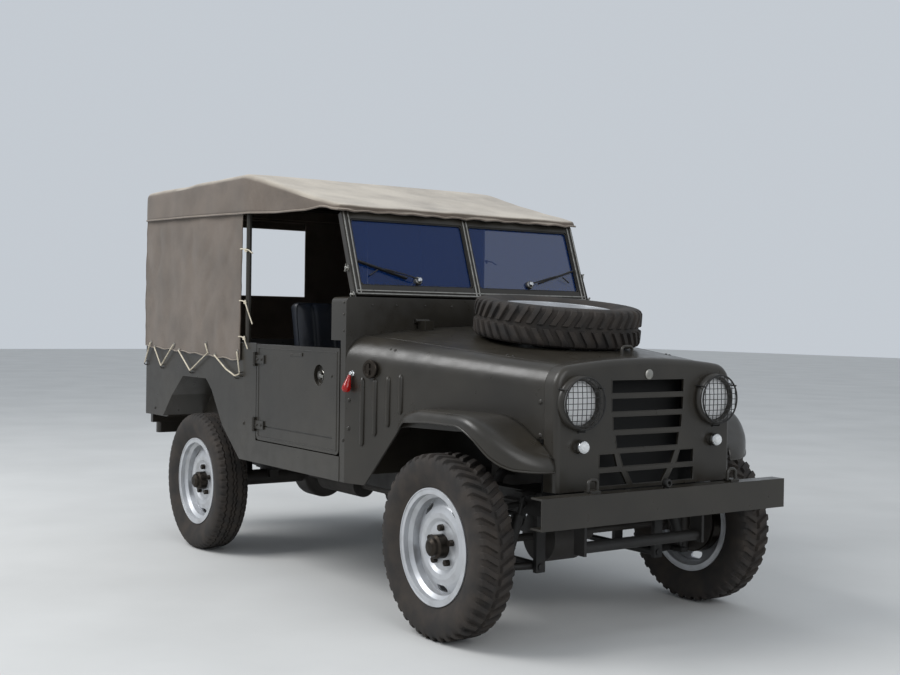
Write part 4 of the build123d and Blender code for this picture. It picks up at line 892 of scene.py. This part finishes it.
def pad(name, size, place, pleats):
    """A pad and its mirror copy, with piping along the seam."""
    box = pad_box(size)
    points = blow_up(box)
    points = pleated(points, size, pleats)
    faces = [tuple(f.vertices) for f in box.data.polygons]
    bpy.data.objects.remove(box)
    skin = BVHTree.FromPolygons(points, faces)
    seam = []
    for turn in circle(SEAM_STEPS)[:-1]:
        x, y = (math.copysign(abs(v) ** 0.35, v) for v in (math.cos(turn), math.sin(turn)))
        at, normal, _, _ = skin.find_nearest(mm(x * size[0] / 2, y * size[1] / 2, size[2] / 2 - 10))
        seam.append(at + normal * 1.0 * MM)
    made = []
    for side, hand in reversed(HANDS):
        put = [Vector((q.x, side * q.y, q.z)) for q in (place @ p for p in points)]
        body = piece(f"{name}_{hand}", put, faces, navy_vinyl, crease=None)
        soften(body)
        line = [Vector((q.x, side * q.y, q.z)) for q in (place @ p for p in seam)]
        wire(f"{name}_piping_{hand}", [line + line[:1]], PIPING_R, navy_vinyl)
        made.append(body)
    return made


print("piping:", 2 * PIPING_R, "mm thick")

# %% [markdown]
# The squab lies level, the back leans on its frame, and the bench lies on the wheelhouse.

# %% Place the pads
LEAN_BACK = math.atan2(89, 500)
SEAT_AT = Matrix.Translation(mm(73, 350, 720))
BACK_AT = (Matrix.Translation(mm(-199, 350, 992)) @ Matrix.Rotation(-LEAN_BACK, 4, "Y")
           @ Matrix.Rotation(math.pi / 2, 4, "Y"))
BENCH_AT = Matrix.Translation(mm(-1010, 580, 934))
squabs = pad("seat_squab", (378, 440, 140), SEAT_AT, 6)
backs = pad("seat_back", (610, 440, 84), BACK_AT, 4)
benches = pad("bench_pad", (780, 196, 68), BENCH_AT, 1)
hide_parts("seats")
print("pads:", len(squabs + backs + benches))

# %% [markdown]
# ## Turned and bolted hardware
#
# Most small fittings are turned, spun or pressed round. One function sweeps a short profile round an axis, and another
# gathers many such shapes into one piece, so that a row of bolts stays a single object.


# %% Turned shapes
FORWARD, AFT, UP = (1, 0, 0), (-1, 0, 0), (0, 0, 1)


def turned(profile, at, axis, steps=24):
    """Points and faces of a turned shape, from (distance, radius) pairs in mm along an axis."""
    along = Vector(axis).normalized()
    side = along.orthogonal().normalized()
    other = along.cross(side)
    points = []
    for distance, radius in profile:
        for turn in circle(steps)[:-1]:
            out = side * math.cos(turn) + other * math.sin(turn)
            points.append((Vector(at) + along * distance + out * radius) * MM)
    faces = grid_faces(len(profile), steps, False, True)
    return points, faces + [tuple(range(steps)), tuple(range(len(points) - steps, len(points)))]


def gather(name, shapes, finish, body="chassis", slot=None):
    """One piece from several shapes."""
    points, faces = [], []
    for more, cells in shapes:
        faces += [tuple(len(points) + i for i in cell) for cell in cells]
        points += more
    return piece(name, points, faces, finish, body, slot=slot)


def spun(rows, places, axis):
    """A piece for each row of name, profile, steps, finish and slot, turned at all the places."""
    return [gather(name, [turned(profile, at, axis, steps) for at in places], finish, slot=slot)
            for name, profile, steps, finish, slot in rows]


print("points of a turned pin:", len(turned(((0, 1), (1, 1)), (0, 0, 0), UP)[0]))

# %% [markdown]
# A bolt is a six-sided turned head on a washer, and a rivet is a low dome. Bars and blades are flat strips with
# their long edges broken, because a sharp edge looks like paper.


# %% Bolts, rivets and bars
def bolt(at, axis, size):
    """A hexagon bolt head on its washer."""
    washer = turned(((-1, size * 1.3), (1.2, size * 1.3), (1.8, size * 1.15)), at, axis, 18)
    head = turned(((1, size), (size * 0.65, size), (size * 0.8, size * 0.82), (size * 0.82, 0.1)), at, axis, 6)
    return [washer, head]


def stud(at, axis, size):
    """A round rivet or screw head."""
    return turned(((-1, size), (size * 0.3, size * 0.93), (size * 0.6, size * 0.62), (size * 0.7, 0.1)), at, axis, 16)


def strip(start, end, out, wide, thick):
    """A flat bar between two points in mm, standing off along out, with softened long edges."""
    start, end, out = Vector(start), Vector(end), Vector(out).normalized()
    across = (end - start).normalized().cross(out)
    bevel = min(wide, thick) * 0.25
    half = wide / 2
    outline = ((-half, 0), (-half, thick - bevel), (-half + bevel, thick), (half - bevel, thick), (half, thick - bevel),
               (half, 0))
    points = [(base + across * a + out * h) * MM for base in (start, end) for a, h in outline]
    n = len(outline)
    return points, grid_faces(2, n, False, True) + [tuple(range(n)), tuple(range(n, 2 * n))]


print("points of a bolt:", sum(len(points) for points, _ in bolt((0, 0, 0), UP, 8)))

# %% [markdown]
# ## Lamps
#
# A headlamp is a spun bowl, silvered inside, with a bulb cap in its middle and a domed glass whose back is fluted to
# spread the beam. The glass sits deep in a pressed rim, and a welded square mesh in a ring guards it. The glass
# is see-through by alpha, so that the studio's light reaches the bowl behind it.

# %% Headlamps and their fluted glass
PANEL_FACE = 1624.0
LAMP_Y, LAMP_Z, LENS_R = 350.0, 905.0, 82.0
RIM = ((-6, 92), (0, 101), (6, 101.5), (12, 100), (18, 95), (22, 88), (21, 85), (17, 84), (0, 82.5))
BOWL = ((0, 83), (-6, 79), (-14, 69), (-28, 52), (-38, 32), (-44, 12), (-45, 0.1))
SHELL = ((-1, 92), (-12, 92), (-34, 76), (-50, 48), (-57, 20), (-58, 0.1))
BULB = ((-45, 14), (-30, 13), (-16, 12), (-10, 9), (-7, 4), (-6, 0.1))


def fluted_lens(at):
    """A domed glass in two skins, the inner one with upright flutes 9 mm apart."""
    rings, steps = 26, 84
    points = []
    for skin in (0, 1):
        for i in range(rings + 1):
            radius = max(LENS_R * i / rings, 0.1)
            for turn in circle(steps)[:-1]:
                y, z = radius * math.cos(turn), radius * math.sin(turn)
                dome = 2 + 15 * (1 - (radius / LENS_R) ** 2)
                flute = 0.9 * math.sin(2 * math.pi * y / 9) * (1 - (radius / LENS_R) ** 6)
                points.append((Vector(at) + Vector((dome if skin == 0 else dome - 4.5 + flute, y, z))) * MM)
    cells = grid_faces(rings + 1, steps, False, True)
    start = (rings + 1) * steps
    faces = cells + [tuple(start + i for i in cell) for cell in cells]
    edge = rings * steps
    for k in range(steps):
        a, b = edge + k, edge + (k + 1) % steps
        faces.append((a, b, start + b, start + a))
    faces += [tuple(range(steps)), tuple(range(start, start + steps))]
    return points, faces


LAMP_PLACES = [(PANEL_FACE, side * LAMP_Y, LAMP_Z) for side in SIDES]
spun((("headlamp_rims", RIM, 64, army_enamel, None), ("headlamp_shells", SHELL, 48, frame_paint, None),
      ("headlamp_bowls", BOWL, 64, reflector, None), ("headlamp_bulbs", BULB, 24, chrome, "lamp_glass")),
     LAMP_PLACES, FORWARD)
lenses = gather("headlamp_lenses", [fluted_lens(at) for at in LAMP_PLACES], lens_glass)
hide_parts("headlamps")
print("points of the lenses:", len(lenses.data.vertices))

# %% [markdown]
# The guard is wire welded to a hoop on three legs. Its mesh is bowed a little, so that it clears the glass. A picture
# of a mesh would look flat from the side, so every wire is drawn.

# %% Headlamp guards
GUARD_X, GUARD_R, MESH_MM = PANEL_FACE + 40, 95.0, 21.0
# a guard's leg: radius and x in mm from the hoop to the panel
LEG = ((GUARD_R, GUARD_X), (GUARD_R + 9, GUARD_X - 2), (GUARD_R + 11, PANEL_FACE + 2), (GUARD_R + 17, PANEL_FACE + 1))
runs, hoops = [], []
for _, lamp_y, lamp_z in LAMP_PLACES:
    for k in range(-4, 5):
        off = k * MESH_MM
        reach = math.sqrt(GUARD_R ** 2 - off ** 2)
        bow = [(reach * s, 7 * (1 - (off / GUARD_R) ** 2) * (1 - s * s)) for s in (-1, -0.6, -0.2, 0.2, 0.6, 1)]
        runs.append([mm(GUARD_X + rise, lamp_y + off, lamp_z + along) for along, rise in bow])
        runs.append([mm(GUARD_X + rise + 2, lamp_y + along, lamp_z + off) for along, rise in bow])
    hoops.append([mm(GUARD_X, lamp_y + GUARD_R * math.cos(a), lamp_z + GUARD_R * math.sin(a))
                  for a in circle(48)])
    for turn in (-90, 30, 150):
        out = Vector((0, math.cos(math.radians(turn)), math.sin(math.radians(turn))))
        hoops.append([(Vector((x, lamp_y, lamp_z)) + out * r) * MM for r, x in LEG])
wire("headlamp_guard_mesh", runs, 1.5, frame_paint, fine=1)
guard_hoops = wire("headlamp_guard_hoops", hoops, 3.4, frame_paint)
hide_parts("headlamp_guards")
print("guard wires:", len(runs))

# %% [markdown]
# The slots of the front panel have rolled edges that catch the light, and a near-black board round the radiator is
# painted shade behind them. The edges could be bevels on the solid, but the solids stay as they are, so a wire runs
# round each slot.

# %% Slot edges and the painted shade board behind them
# row, then y in mm of the right edge at top and bottom and of the left edge at top and bottom
SLOTS = ((0, -188, -188, 188, 188), (1, -187, -186, 187, 186), (2, -181, -178, 181, 178), (3, -167, -160, 167, 160),
         (4, -147, -126, 147, 126), (5, -108, -76, 108, 76), (4, 170, 152, 246, 246), (5, 134, 102, 246, 246),
         (4, -246, -246, -170, -152), (5, -246, -246, -134, -102))
SLOT_TOP, SLOT_PITCH, SLOT_TALL = 987, 69, 51
edges = []
for row, right_top, right_low, left_top, left_low in SLOTS:
    top = SLOT_TOP - row * SLOT_PITCH
    low = top - SLOT_TALL
    corners = ((right_top, top), (left_top, top), (left_low, low), (right_low, low), (right_top, top))
    edges.append([mm(PANEL_FACE - 1, y, z) for y, z in corners])
wire("front_slot_edges", edges, 2.6, army_enamel)
# a near-black board: painted shade behind the slots
board = strip((1484, 0, 505), (1484, 0, 860), FORWARD, 810, 3)
gather("radiator_shade_board", [board], shade_black)
print("slot edges:", len(edges))

# %% [markdown]
# The parking lamps are small domes in a chromed bezel on a pressed cone. The side lamps are red drops that hang from
# a chromed knob, and the rear lamps are red domes on a black base. All of them are round, so a short profile is enough.

# %% Small lamps
spun((("parking_lamp_cones", ((-1, 27), (3, 26), (14, 20), (22, 20)), 32, army_enamel, None),
      ("parking_lamp_bezels", ((16, 21), (18, 25), (28, 25), (32, 22.5), (31, 21)), 40, chrome, "lamp_glass"),
      ("parking_lamp_bowls", ((29, 21), (24, 12), (22, 0.1)), 32, reflector, None),
      ("parking_lamp_glass", ((30, 21.5), (36, 20.5), (42, 16), (45, 9), (46, 0.1)), 40, lens_glass, None)),
     [(PANEL_FACE, side * 346, 744) for side in SIDES], FORWARD)
KNOB = ((-2, 12), (3, 12), (8, 8), (12, 9), (16, 7), (18, 0.1))
DROP = ((0, 5), (8, 8), (26, 12), (46, 17), (58, 19), (66, 18), (73, 12), (76, 0.1))
knobs = [turned(KNOB, (594, side * 706, 974), (0.26, side, 0), 20) for side in SIDES]
drops = [turned(DROP, (592, side * 719, 968), (-3, side * 16, -62), 28) for side in SIDES]
gather("side_lamp_knobs", knobs, chrome, slot="lamp_red")
red_drops = gather("side_lamp_glass", drops, red_glass)
spun((("rear_lamp_bases", ((-1, 42), (6, 42), (12, 39), (13, 36)), 40, bakelite, None),
      ("rear_lamp_glass", ((10, 36), (20, 35), (28, 29), (33, 16), (34, 0.1)), 40, red_glass, None)),
     [(-1700, side * 628, 790) for side in SIDES], AFT)
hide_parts("small_lamps")
print("side lamps:", len(drops))

# %% [markdown]
# ## Windscreen fittings
#
# Each pane sits in a rubber bead. Points on the screen are given across, up its rake and out from its middle plane,
# so that nothing else has to know the rake.

# %% Beads round the panes
RAKE = math.radians(20)
SCREEN_FOOT = Vector((498, 0, 1300))
SCREEN_UP = Vector((-math.sin(RAKE), 0, math.cos(RAKE)))
SCREEN_OUT = Vector((math.cos(RAKE), 0, math.sin(RAKE)))


def on_screen(y, rise, out):
    """A point of the windscreen in mm: across, up its rake, and out from its middle plane."""
    return SCREEN_FOOT + Vector((0, y, 0)) + SCREEN_UP * rise + SCREEN_OUT * out


beads = []
for side in SIDES:
    near, far, low, high, cut = 20, 610, 48, 355, 12
    ring = ((near + cut, low), (far - cut, low), (far, low + cut), (far, high - cut), (far - cut, high),
            (near + cut, high), (near, high - cut), (near, low + cut), (near + cut, low))
    for out in (-7, 7):
        beads.append([on_screen(side * y, rise, out) * MM for y, rise in ring])
wire("windscreen_beads", beads, 5.0, seal_rubber)
print("beads:", len(beads))

# %% [markdown]
# The screen can be laid forward, so flat stays with wing nuts hold its posts at the sides. Bright steel strips along
# the posts and the sill are a painted reflection of the sky on the frame.

# %% Stays and reflection strips
stays, nuts = [], []
for side in SIDES:
    outside = (0, side, 0)
    foot, head = Vector((506, side * 650, 1290)), on_screen(side * 650, 140, 0)
    stays.append(strip(foot, head, outside, 30, 6))
    for at in (on_screen(side * 656, 128, 0), Vector((503, side * 656, 1306))):
        nuts.append(turned(((-1, 13), (2, 13), (3, 9), (12, 7.5), (14, 5), (14.5, 0.1)), at, outside, 20))
        for way in (-1, 1):
            tip = at + Vector((way * 5, side * 12, way * 17))
            nuts.append(strip(at + Vector((0, side * 7, 0)), tip, FORWARD, 9, 4))
gather("screen_stays", stays, army_enamel)
# bright steel strips: a painted reflection of the sky on the frame's posts and sill
reflection_strips = []
for y in (-641, -620, -9, 9, 620, 641):
    reflection_strips.append(strip(on_screen(y, 8, 14), on_screen(y, 388, 14), SCREEN_OUT, 7, 5))
for rise in (6, 20):
    reflection_strips.append(strip(on_screen(-640, rise, 14), on_screen(640, rise, 14), SCREEN_OUT, 7, 5))
gather("screen_post_reflection_strips", reflection_strips, steel)
gather("screen_wing_nuts", nuts, steel)
print("stays:", len(stays), "mouldings:", len(reflection_strips))

# %% [markdown]
# The wipers hang from little motors on the panes, with arms that point outwards and up. Motors are turned, arms are
# wires and blades are strips, so the helpers above are enough.

# %% Wipers
wiper_bodies, _ = spun((("wiper_motors", ((-10, 19), (10, 19), (16, 17), (20, 12)), 28, steel, None),
                        ("wiper_caps", ((18, 13), (26, 12), (30, 8), (31, 0.1)), 20, chrome, None)),
                       [on_screen(side * 314, 74, 4) for side in SIDES], SCREEN_OUT)
arms, blades = [], []
for side in SIDES:
    for run in (((314, 74, 30), (400, 98, 30), (480, 120, 22)), ((520, 116, 22), (560, 92, 14))):
        arms.append([on_screen(side * y, rise, out) * MM for y, rise, out in run])
    blades.append(strip(on_screen(side * 372, 84, 8), on_screen(side * 606, 156, 8), SCREEN_OUT, 8, 13))
gather("wiper_blades", blades, seal_rubber)
wire("wiper_arms", arms, 3.2, frame_paint)
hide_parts("wipers")
print("wiper blades:", len(blades))

# %% [markdown]
# ## Front wings and the bonnet's sides
#
# A wing is one pressing: a level top that falls away at the nose, a generous round corner in plan, a rolled edge and a
# skirt that ends in a lip round the wheel. Columns of points follow the outline in plan; each runs from the engine bay
# outwards over the roll and down to the lip. A subdivided cage could do it too, but a grid keeps the crest exact.

# %% Wing outline
# the engine bay narrows from the scuttle to the front panel: x and half width in mm
(BAY_REAR, BAY_WIDE), (BAY_FRONT, BAY_NARROW) = (555, 718), (1554, 455)
SIDE_FALL = (BAY_WIDE - BAY_NARROW) / (BAY_FRONT - BAY_REAR)
WING_OUT, WING_FRONT, WING_CORNER, WING_ROLL = 697.0, 1620.0, 240.0, 30.0
WING_REAR, WING_REAR_OUT, WING_WIDE, WING_THICK = 850, 640, 1080, 3.0
# x and z in mm of the crest and of the lip, rear to front
WING_CREST = ((850, 788), (905, 811), (960, 832), (1000, 843), (1064, 852), (1335, 852), (1372, 849), (1408, 840),
              (1445, 824), (1480, 803), (1620, 696))
WING_LIP = ((850, 756), (941, 796), (1040, 804), (1155, 811), (1330, 811), (1368, 804), (1404, 788), (1440, 766),
            (1500, 707), (1530, 684), (1565, 666), (1622, 655))


def beside_bonnet(x, z, side=-1):
    """A point on the outside of the engine bay or the front panel."""
    return Vector((x, side * max(BAY_NARROW, BAY_WIDE - SIDE_FALL * (x - BAY_REAR)), z))


def wing_outline():
    """Plan points of the wing's edge with the way out and the point of the engine bay behind each."""
    stations = []
    corner_x = WING_FRONT - WING_CORNER
    for k in range(15):
        share = k / 14
        x = WING_REAR + (WING_WIDE - WING_REAR) * share
        y = WING_REAR_OUT + (WING_OUT - WING_REAR_OUT) * (1 - (1 - share) ** 2)
        stations.append((x, y, Vector((-0.24 * (1 - share), 1, 0)).normalized(), x))
    for k in range(1, 13):
        x = WING_WIDE + (corner_x - WING_WIDE) * k / 12
        stations.append((x, WING_OUT, Vector((0, 1, 0)), x))
    for k in range(1, 25):
        turn = math.radians(90 * k / 24)
        out = Vector((math.sin(turn), math.cos(turn), 0))
        x, y = corner_x + WING_CORNER * out.x, WING_OUT - WING_CORNER + WING_CORNER * out.y
        stations.append((x, y, out, corner_x + WING_CORNER * k / 24))
    return stations


print("points of the outline:", len(wing_outline()))

# %% [markdown]
# The height of the top and of the lip are read from two short tables, as a panel beater reads them off templates.
# The sheet is thickened, and a wire is rolled into its lip.


# %% Wing pressing
def wing(side, name):
    """One wing as a sheet with a rounded lip."""
    rows = []
    for x, y, out, inner_x in wing_outline():
        crest, lip = between(WING_CREST, x), between(WING_LIP, x)
        roll = min(WING_ROLL, 0.7 * (crest - lip))
        edge = Vector((x, y, 0))
        inner = beside_bonnet(inner_x, 0, 1)
        shelf = edge - out * roll
        column = []
        for share in (0.0, 0.12, 0.25, 0.4, 0.55, 0.7, 0.85):
            at = inner.lerp(shelf, share)
            column.append(Vector((at.x, at.y, between(WING_CREST, at.x))))
        base = between(WING_CREST, shelf.x)
        for degrees in (0, 15, 30, 45, 60, 75, 90):
            turn = math.radians(degrees)
            at = shelf + out * (roll * math.sin(turn))
            drop = roll * (1 - math.cos(turn)) + (base - crest) * math.sin(turn)
            column.append(Vector((at.x, at.y, base - drop)))
        foot = crest - roll
        column += [Vector((x, y, foot + (lip - foot) * share)) for share in (0.33, 0.66, 1.0)]
        rows.append([mm(p.x, side * p.y, p.z) for p in column])
    shell = piece(name, [p for row in rows for p in row], grid_faces(len(rows), len(rows[0])), army_enamel,
                  crease=math.radians(40))
    thicken(shell, WING_THICK, 0)
    wire(name + "_lip", [[row[-1] for row in rows]], 4.5, army_enamel)
    return shell


wings = [wing(side, "wing_" + hand) for side, hand in HANDS]
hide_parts("front_wings")
print("wings:", len(wings))

# %% [markdown]
# The ribs on the bonnet's sides are half-round pressings that stiffen the sheet. Each is a turned rod with round ends,
# sunk to its middle. A capped filler stands above them on the right.

# %% Ribs and filler cap
# x, bottom and top of a rib in mm
RIBS = ((652, 671, 962), (722, 717, 960), (793, 759, 971), (860, 816, 982))
ribs = []
for side in SIDES:
    for x, low, top in RIBS:
        tall = top - low
        end = ((0, 0.1), (4, 7), (12, 11.5), (18, 12.5))
        profile = end + tuple((tall - d, r) for d, r in reversed(end))
        ribs.append(turned(profile, beside_bonnet(x, low, side) - Vector((0, side * 2, 0)), UP, 28))
gather("bonnet_side_ribs", ribs, army_enamel)
cap_out = Vector((SIDE_FALL, -1, 0)).normalized()
cap_at = beside_bonnet(705, 996)
cap = [turned(((-6, 36), (4, 36), (6, 39), (16, 39), (20, 36), (21, 26), (18, 24), (18, 0.1)), cap_at, cap_out, 40)]
for way in (-1, 1):
    grip = [cap_at + cap_out * 18 + Vector((0, 0, way * z)) for z in (4, 22)]
    cap.append(strip(*grip, cap_out, 8, 7))
gather("filler_cap", cap, dark_steel)
print("ribs:", len(ribs))

# %% [markdown]
# ## Bolts, catches and the place of the badge
#
# Sheet steel is held by hexagon bolts and round rivets, and they tell the eye how large the panels are. The round place
# for a badge on the front panel stays a plain disc. The places are written out, because scattering would break the
# rows.

# %% Fasteners on the body
heads, rivets = [], []
for side in SIDES:
    beside = (SIDE_FALL, side, 0)
    for x, z in ((1538, 906), (1538, 782), (576, 742), (576, 860)):
        heads += bolt(beside_bonnet(x, z, side), beside, 7.5)
    for x, y, z in ((774, 630, 1077), (800, 626, 1075)):
        rivets.append(stud((x, side * y, z), (0, side * 0.7, 0.7), 7))
    for x in (-1660, -1300, -1160, -1020, -880, -600, -430):
        rivets.append(stud((x, side * 720, 1062), (0, side, 0), 5.5))
    for x in (-1560, -1400, -420, 540):
        heads += bolt((x, side * (720 if x < 500 else 718), 690), (0, side, 0), 6.5)
    for z in (1150, 1220, 1270):
        rivets.append(stud((534, side * 718, z), (0, side, 0), 5.5))
    for y in (180, 320, 470, 590):
        rivets.append(stud((555, side * y, 1262), FORWARD, 5.5))
gather("body_bolts", heads, army_enamel)
gather("body_rivets", rivets, army_enamel)
badge = [turned(((-1, 20), (3, 20), (5, 17), (6, 12), (6.4, 0.1)), (PANEL_FACE, 0, 1006), FORWARD, 36)]
gather("plain_badge_disc", badge, steel)
guide = [turned(((-2, 17), (14, 17), (20, 14), (20, 9), (4, 8), (4, 0.1)), (1738, -14, 604), FORWARD, 28),
         turned(((0, 12), (20, 12)), (1742, -14, 582), UP, 20)]
gather("crank_guide", guide, frame_paint)
print("bolts:", len(heads) // 2, "rivets:", len(rivets))

# %% [markdown]
# What is fixed to a door, to the bonnet or to the tailgate rides on that body, so it swings with it. A door has a bead
# round its edge, hinge bolts, a sunk handle and a catch plate.

# %% Door fittings
for side, hand in HANDS:
    out = (0, side, 0)
    name = "door_" + hand
    corners = ((-262, 1058), (486, 1058), (486, 640), (-262, 640))
    edge = [[mm(x, side * 719.5, z) for x, z in pair] for pair in zip(corners, corners[1:] + corners[:1])]
    wire(name + "_bead", edge, 3.0, army_enamel, name)
    door_bolts = []
    for x in (-262, -222):
        for z in (695, 1005):
            door_bolts += bolt((x, side * 727, z), out, 6)
    door_bolts += bolt((440, side * 720, 955), out, 5)
    gather(name + "_bolts", door_bolts, army_enamel, name)
    handle = [turned(((0, 20), (3, 20), (5, 17)), (329, side * 702, 955), out, 32),
              turned(((0, 8), (12, 7), (15, 0.1)), (329, side * 706, 955), out, 20),
              strip((329, side * 716, 955), (366, side * 716, 948), out, 13, 5)]
    gather(name + "_handle", handle, steel, name)
    latch = [strip((60, side * 720, 1037), (176, side * 720, 1039), out, 15, 4), stud((78, side * 723, 1037), out, 5),
             stud((158, side * 723, 1039), out, 5)]
    gather(name + "_catch_plate", latch, army_enamel, name)
    print(name, "bolts:", len(door_bolts) // 2)

# %% [markdown]
# The bonnet carries its hinge bolts, the studs of its catches and the nuts of the spare wheel. The tailgate has bolts
# and two catches.

# %% Bonnet and tailgate fittings
lid_bolts = []
for y in (-345, 345):
    for x in (592, 614):
        lid_bolts += bolt((x, y + (9 if x < 600 else -9), 1197.5), (0.1, 0, 1), 6.5)
for x, y, z in ((1286, 436, 1071), (1312, 430, 1068)):
    for side in SIDES:
        lid_bolts.append(stud((x, side * (y - 14), z), (0.1, 0, 1), 6))
gather("bonnet_bolts", lid_bolts, army_enamel, "bonnet")
clamp, NUT_CIRCLE = [], 70
SPARE_AT = middle("spare_wheel") / MM
SPARE_UP = LAID_FLAT @ Vector((0, -1, 0))
if SPARE_UP.z < 0:
    SPARE_UP = -SPARE_UP
for turn in circle(5)[:-1]:
    spot = LAID_FLAT @ Vector((NUT_CIRCLE * math.cos(turn), 0, NUT_CIRCLE * math.sin(turn)))
    clamp += bolt(SPARE_AT + spot + SPARE_UP * 14, SPARE_UP, 11)
gather("spare_wheel_nuts", clamp, steel, "bonnet")

gate = []
for side in SIDES:
    for z in (700, 860, 1040):
        gate += bolt((-1700, side * 510, z), AFT, 6.5)
    gate.append(strip((-1700, side * 505, 1000), (-1700, side * 530, 1060), AFT, 26, 12))
gather("tailgate_fasteners", gate, army_enamel, "tailgate")
print("bonnet bolts and studs:", len(lid_bolts), "tailgate shapes:", len(gate))

# %% [markdown]
# ## Dashboard
#
# The dash is a plain steel sheet with a few round instruments in bezels and a row of pull knobs. Their dials are left
# blank.

# %% Dials and knobs
dials, faces_of_dials, pulls = [], [], []
for y, radius in ((345, 52), (220, 36), (470, 36), (60, 36)):
    dials.append(turned(((-1, radius), (6, radius), (9, radius - 4), (5, radius - 6)), (430, y, 1205), AFT, 40))
    faces_of_dials.append(turned(((2, radius - 5), (3, radius - 6), (3.2, 0.1)), (430, y, 1205), AFT, 40))
for y in (-60, -130, 130, 160, 545):
    pulls.append(turned(((-1, 6), (14, 6), (16, 12), (24, 12), (27, 9), (28, 0.1)), (430, y, 1150), AFT, 20))
gather("dial_bezels", dials, chrome)
gather("dial_faces", faces_of_dials, bakelite)
gather("pull_knobs", pulls, bakelite)
print("dials:", len(dials), "pull knobs:", len(pulls))

# %% [markdown]
# ## Floor and light
#
# A plain pale floor takes the shadow. One large soft lamp stands for a high sun on the car's right, a weaker one
# fills the front, and an even pale world does the rest.

# %% Studio
floor_paint, tree, shader = new_material("pale_studio_floor", roughness=0.9)
tones = spread(tree, blotches(tree, 900), 0.3, 0.7)
feed(tree, shader, base_color=blend_colours(tree, tones, "#c9c9c7", "#d2d2d0"))
FLOOR_HALF = 40.0
mesh = bpy.data.meshes.new("studio_floor")
corners = [(x * FLOOR_HALF, y * FLOOR_HALF, 0) for x, y in ((-1, -1), (1, -1), (1, 1), (-1, 1))]
mesh.from_pydata(corners, [], [(0, 1, 2, 3)])
mesh.materials.append(floor_paint)
studio_floor = bpy.data.objects.new("studio_floor", mesh)
bpy.context.scene.collection.objects.link(studio_floor)

LAMPS = (("key", (-2.5, -6.5, 7.5), 5.0, 620), ("front_fill", (8.0, -1.0, 4.5), 5.0, 160))
for name, at, size, watts in LAMPS:
    lamp = bpy.data.lights.new(name, "AREA")
    lamp.size = size
    lamp.energy = watts
    stand = bpy.data.objects.new(name, lamp)
    stand.location = at
    stand.rotation_euler = (Vector((0, 0, 0.8)) - Vector(at)).to_track_quat("-Z", "Y").to_euler()
    bpy.context.scene.collection.objects.link(stand)

world = bpy.data.worlds.new("studio")
bpy.context.scene.world = world
world.use_nodes = True
sky = world.node_tree.nodes["Background"]
sky.inputs["Color"].default_value = linear("#dfe6ee")
sky.inputs["Strength"].default_value = 0.75
print("lamps:", len(LAMPS))
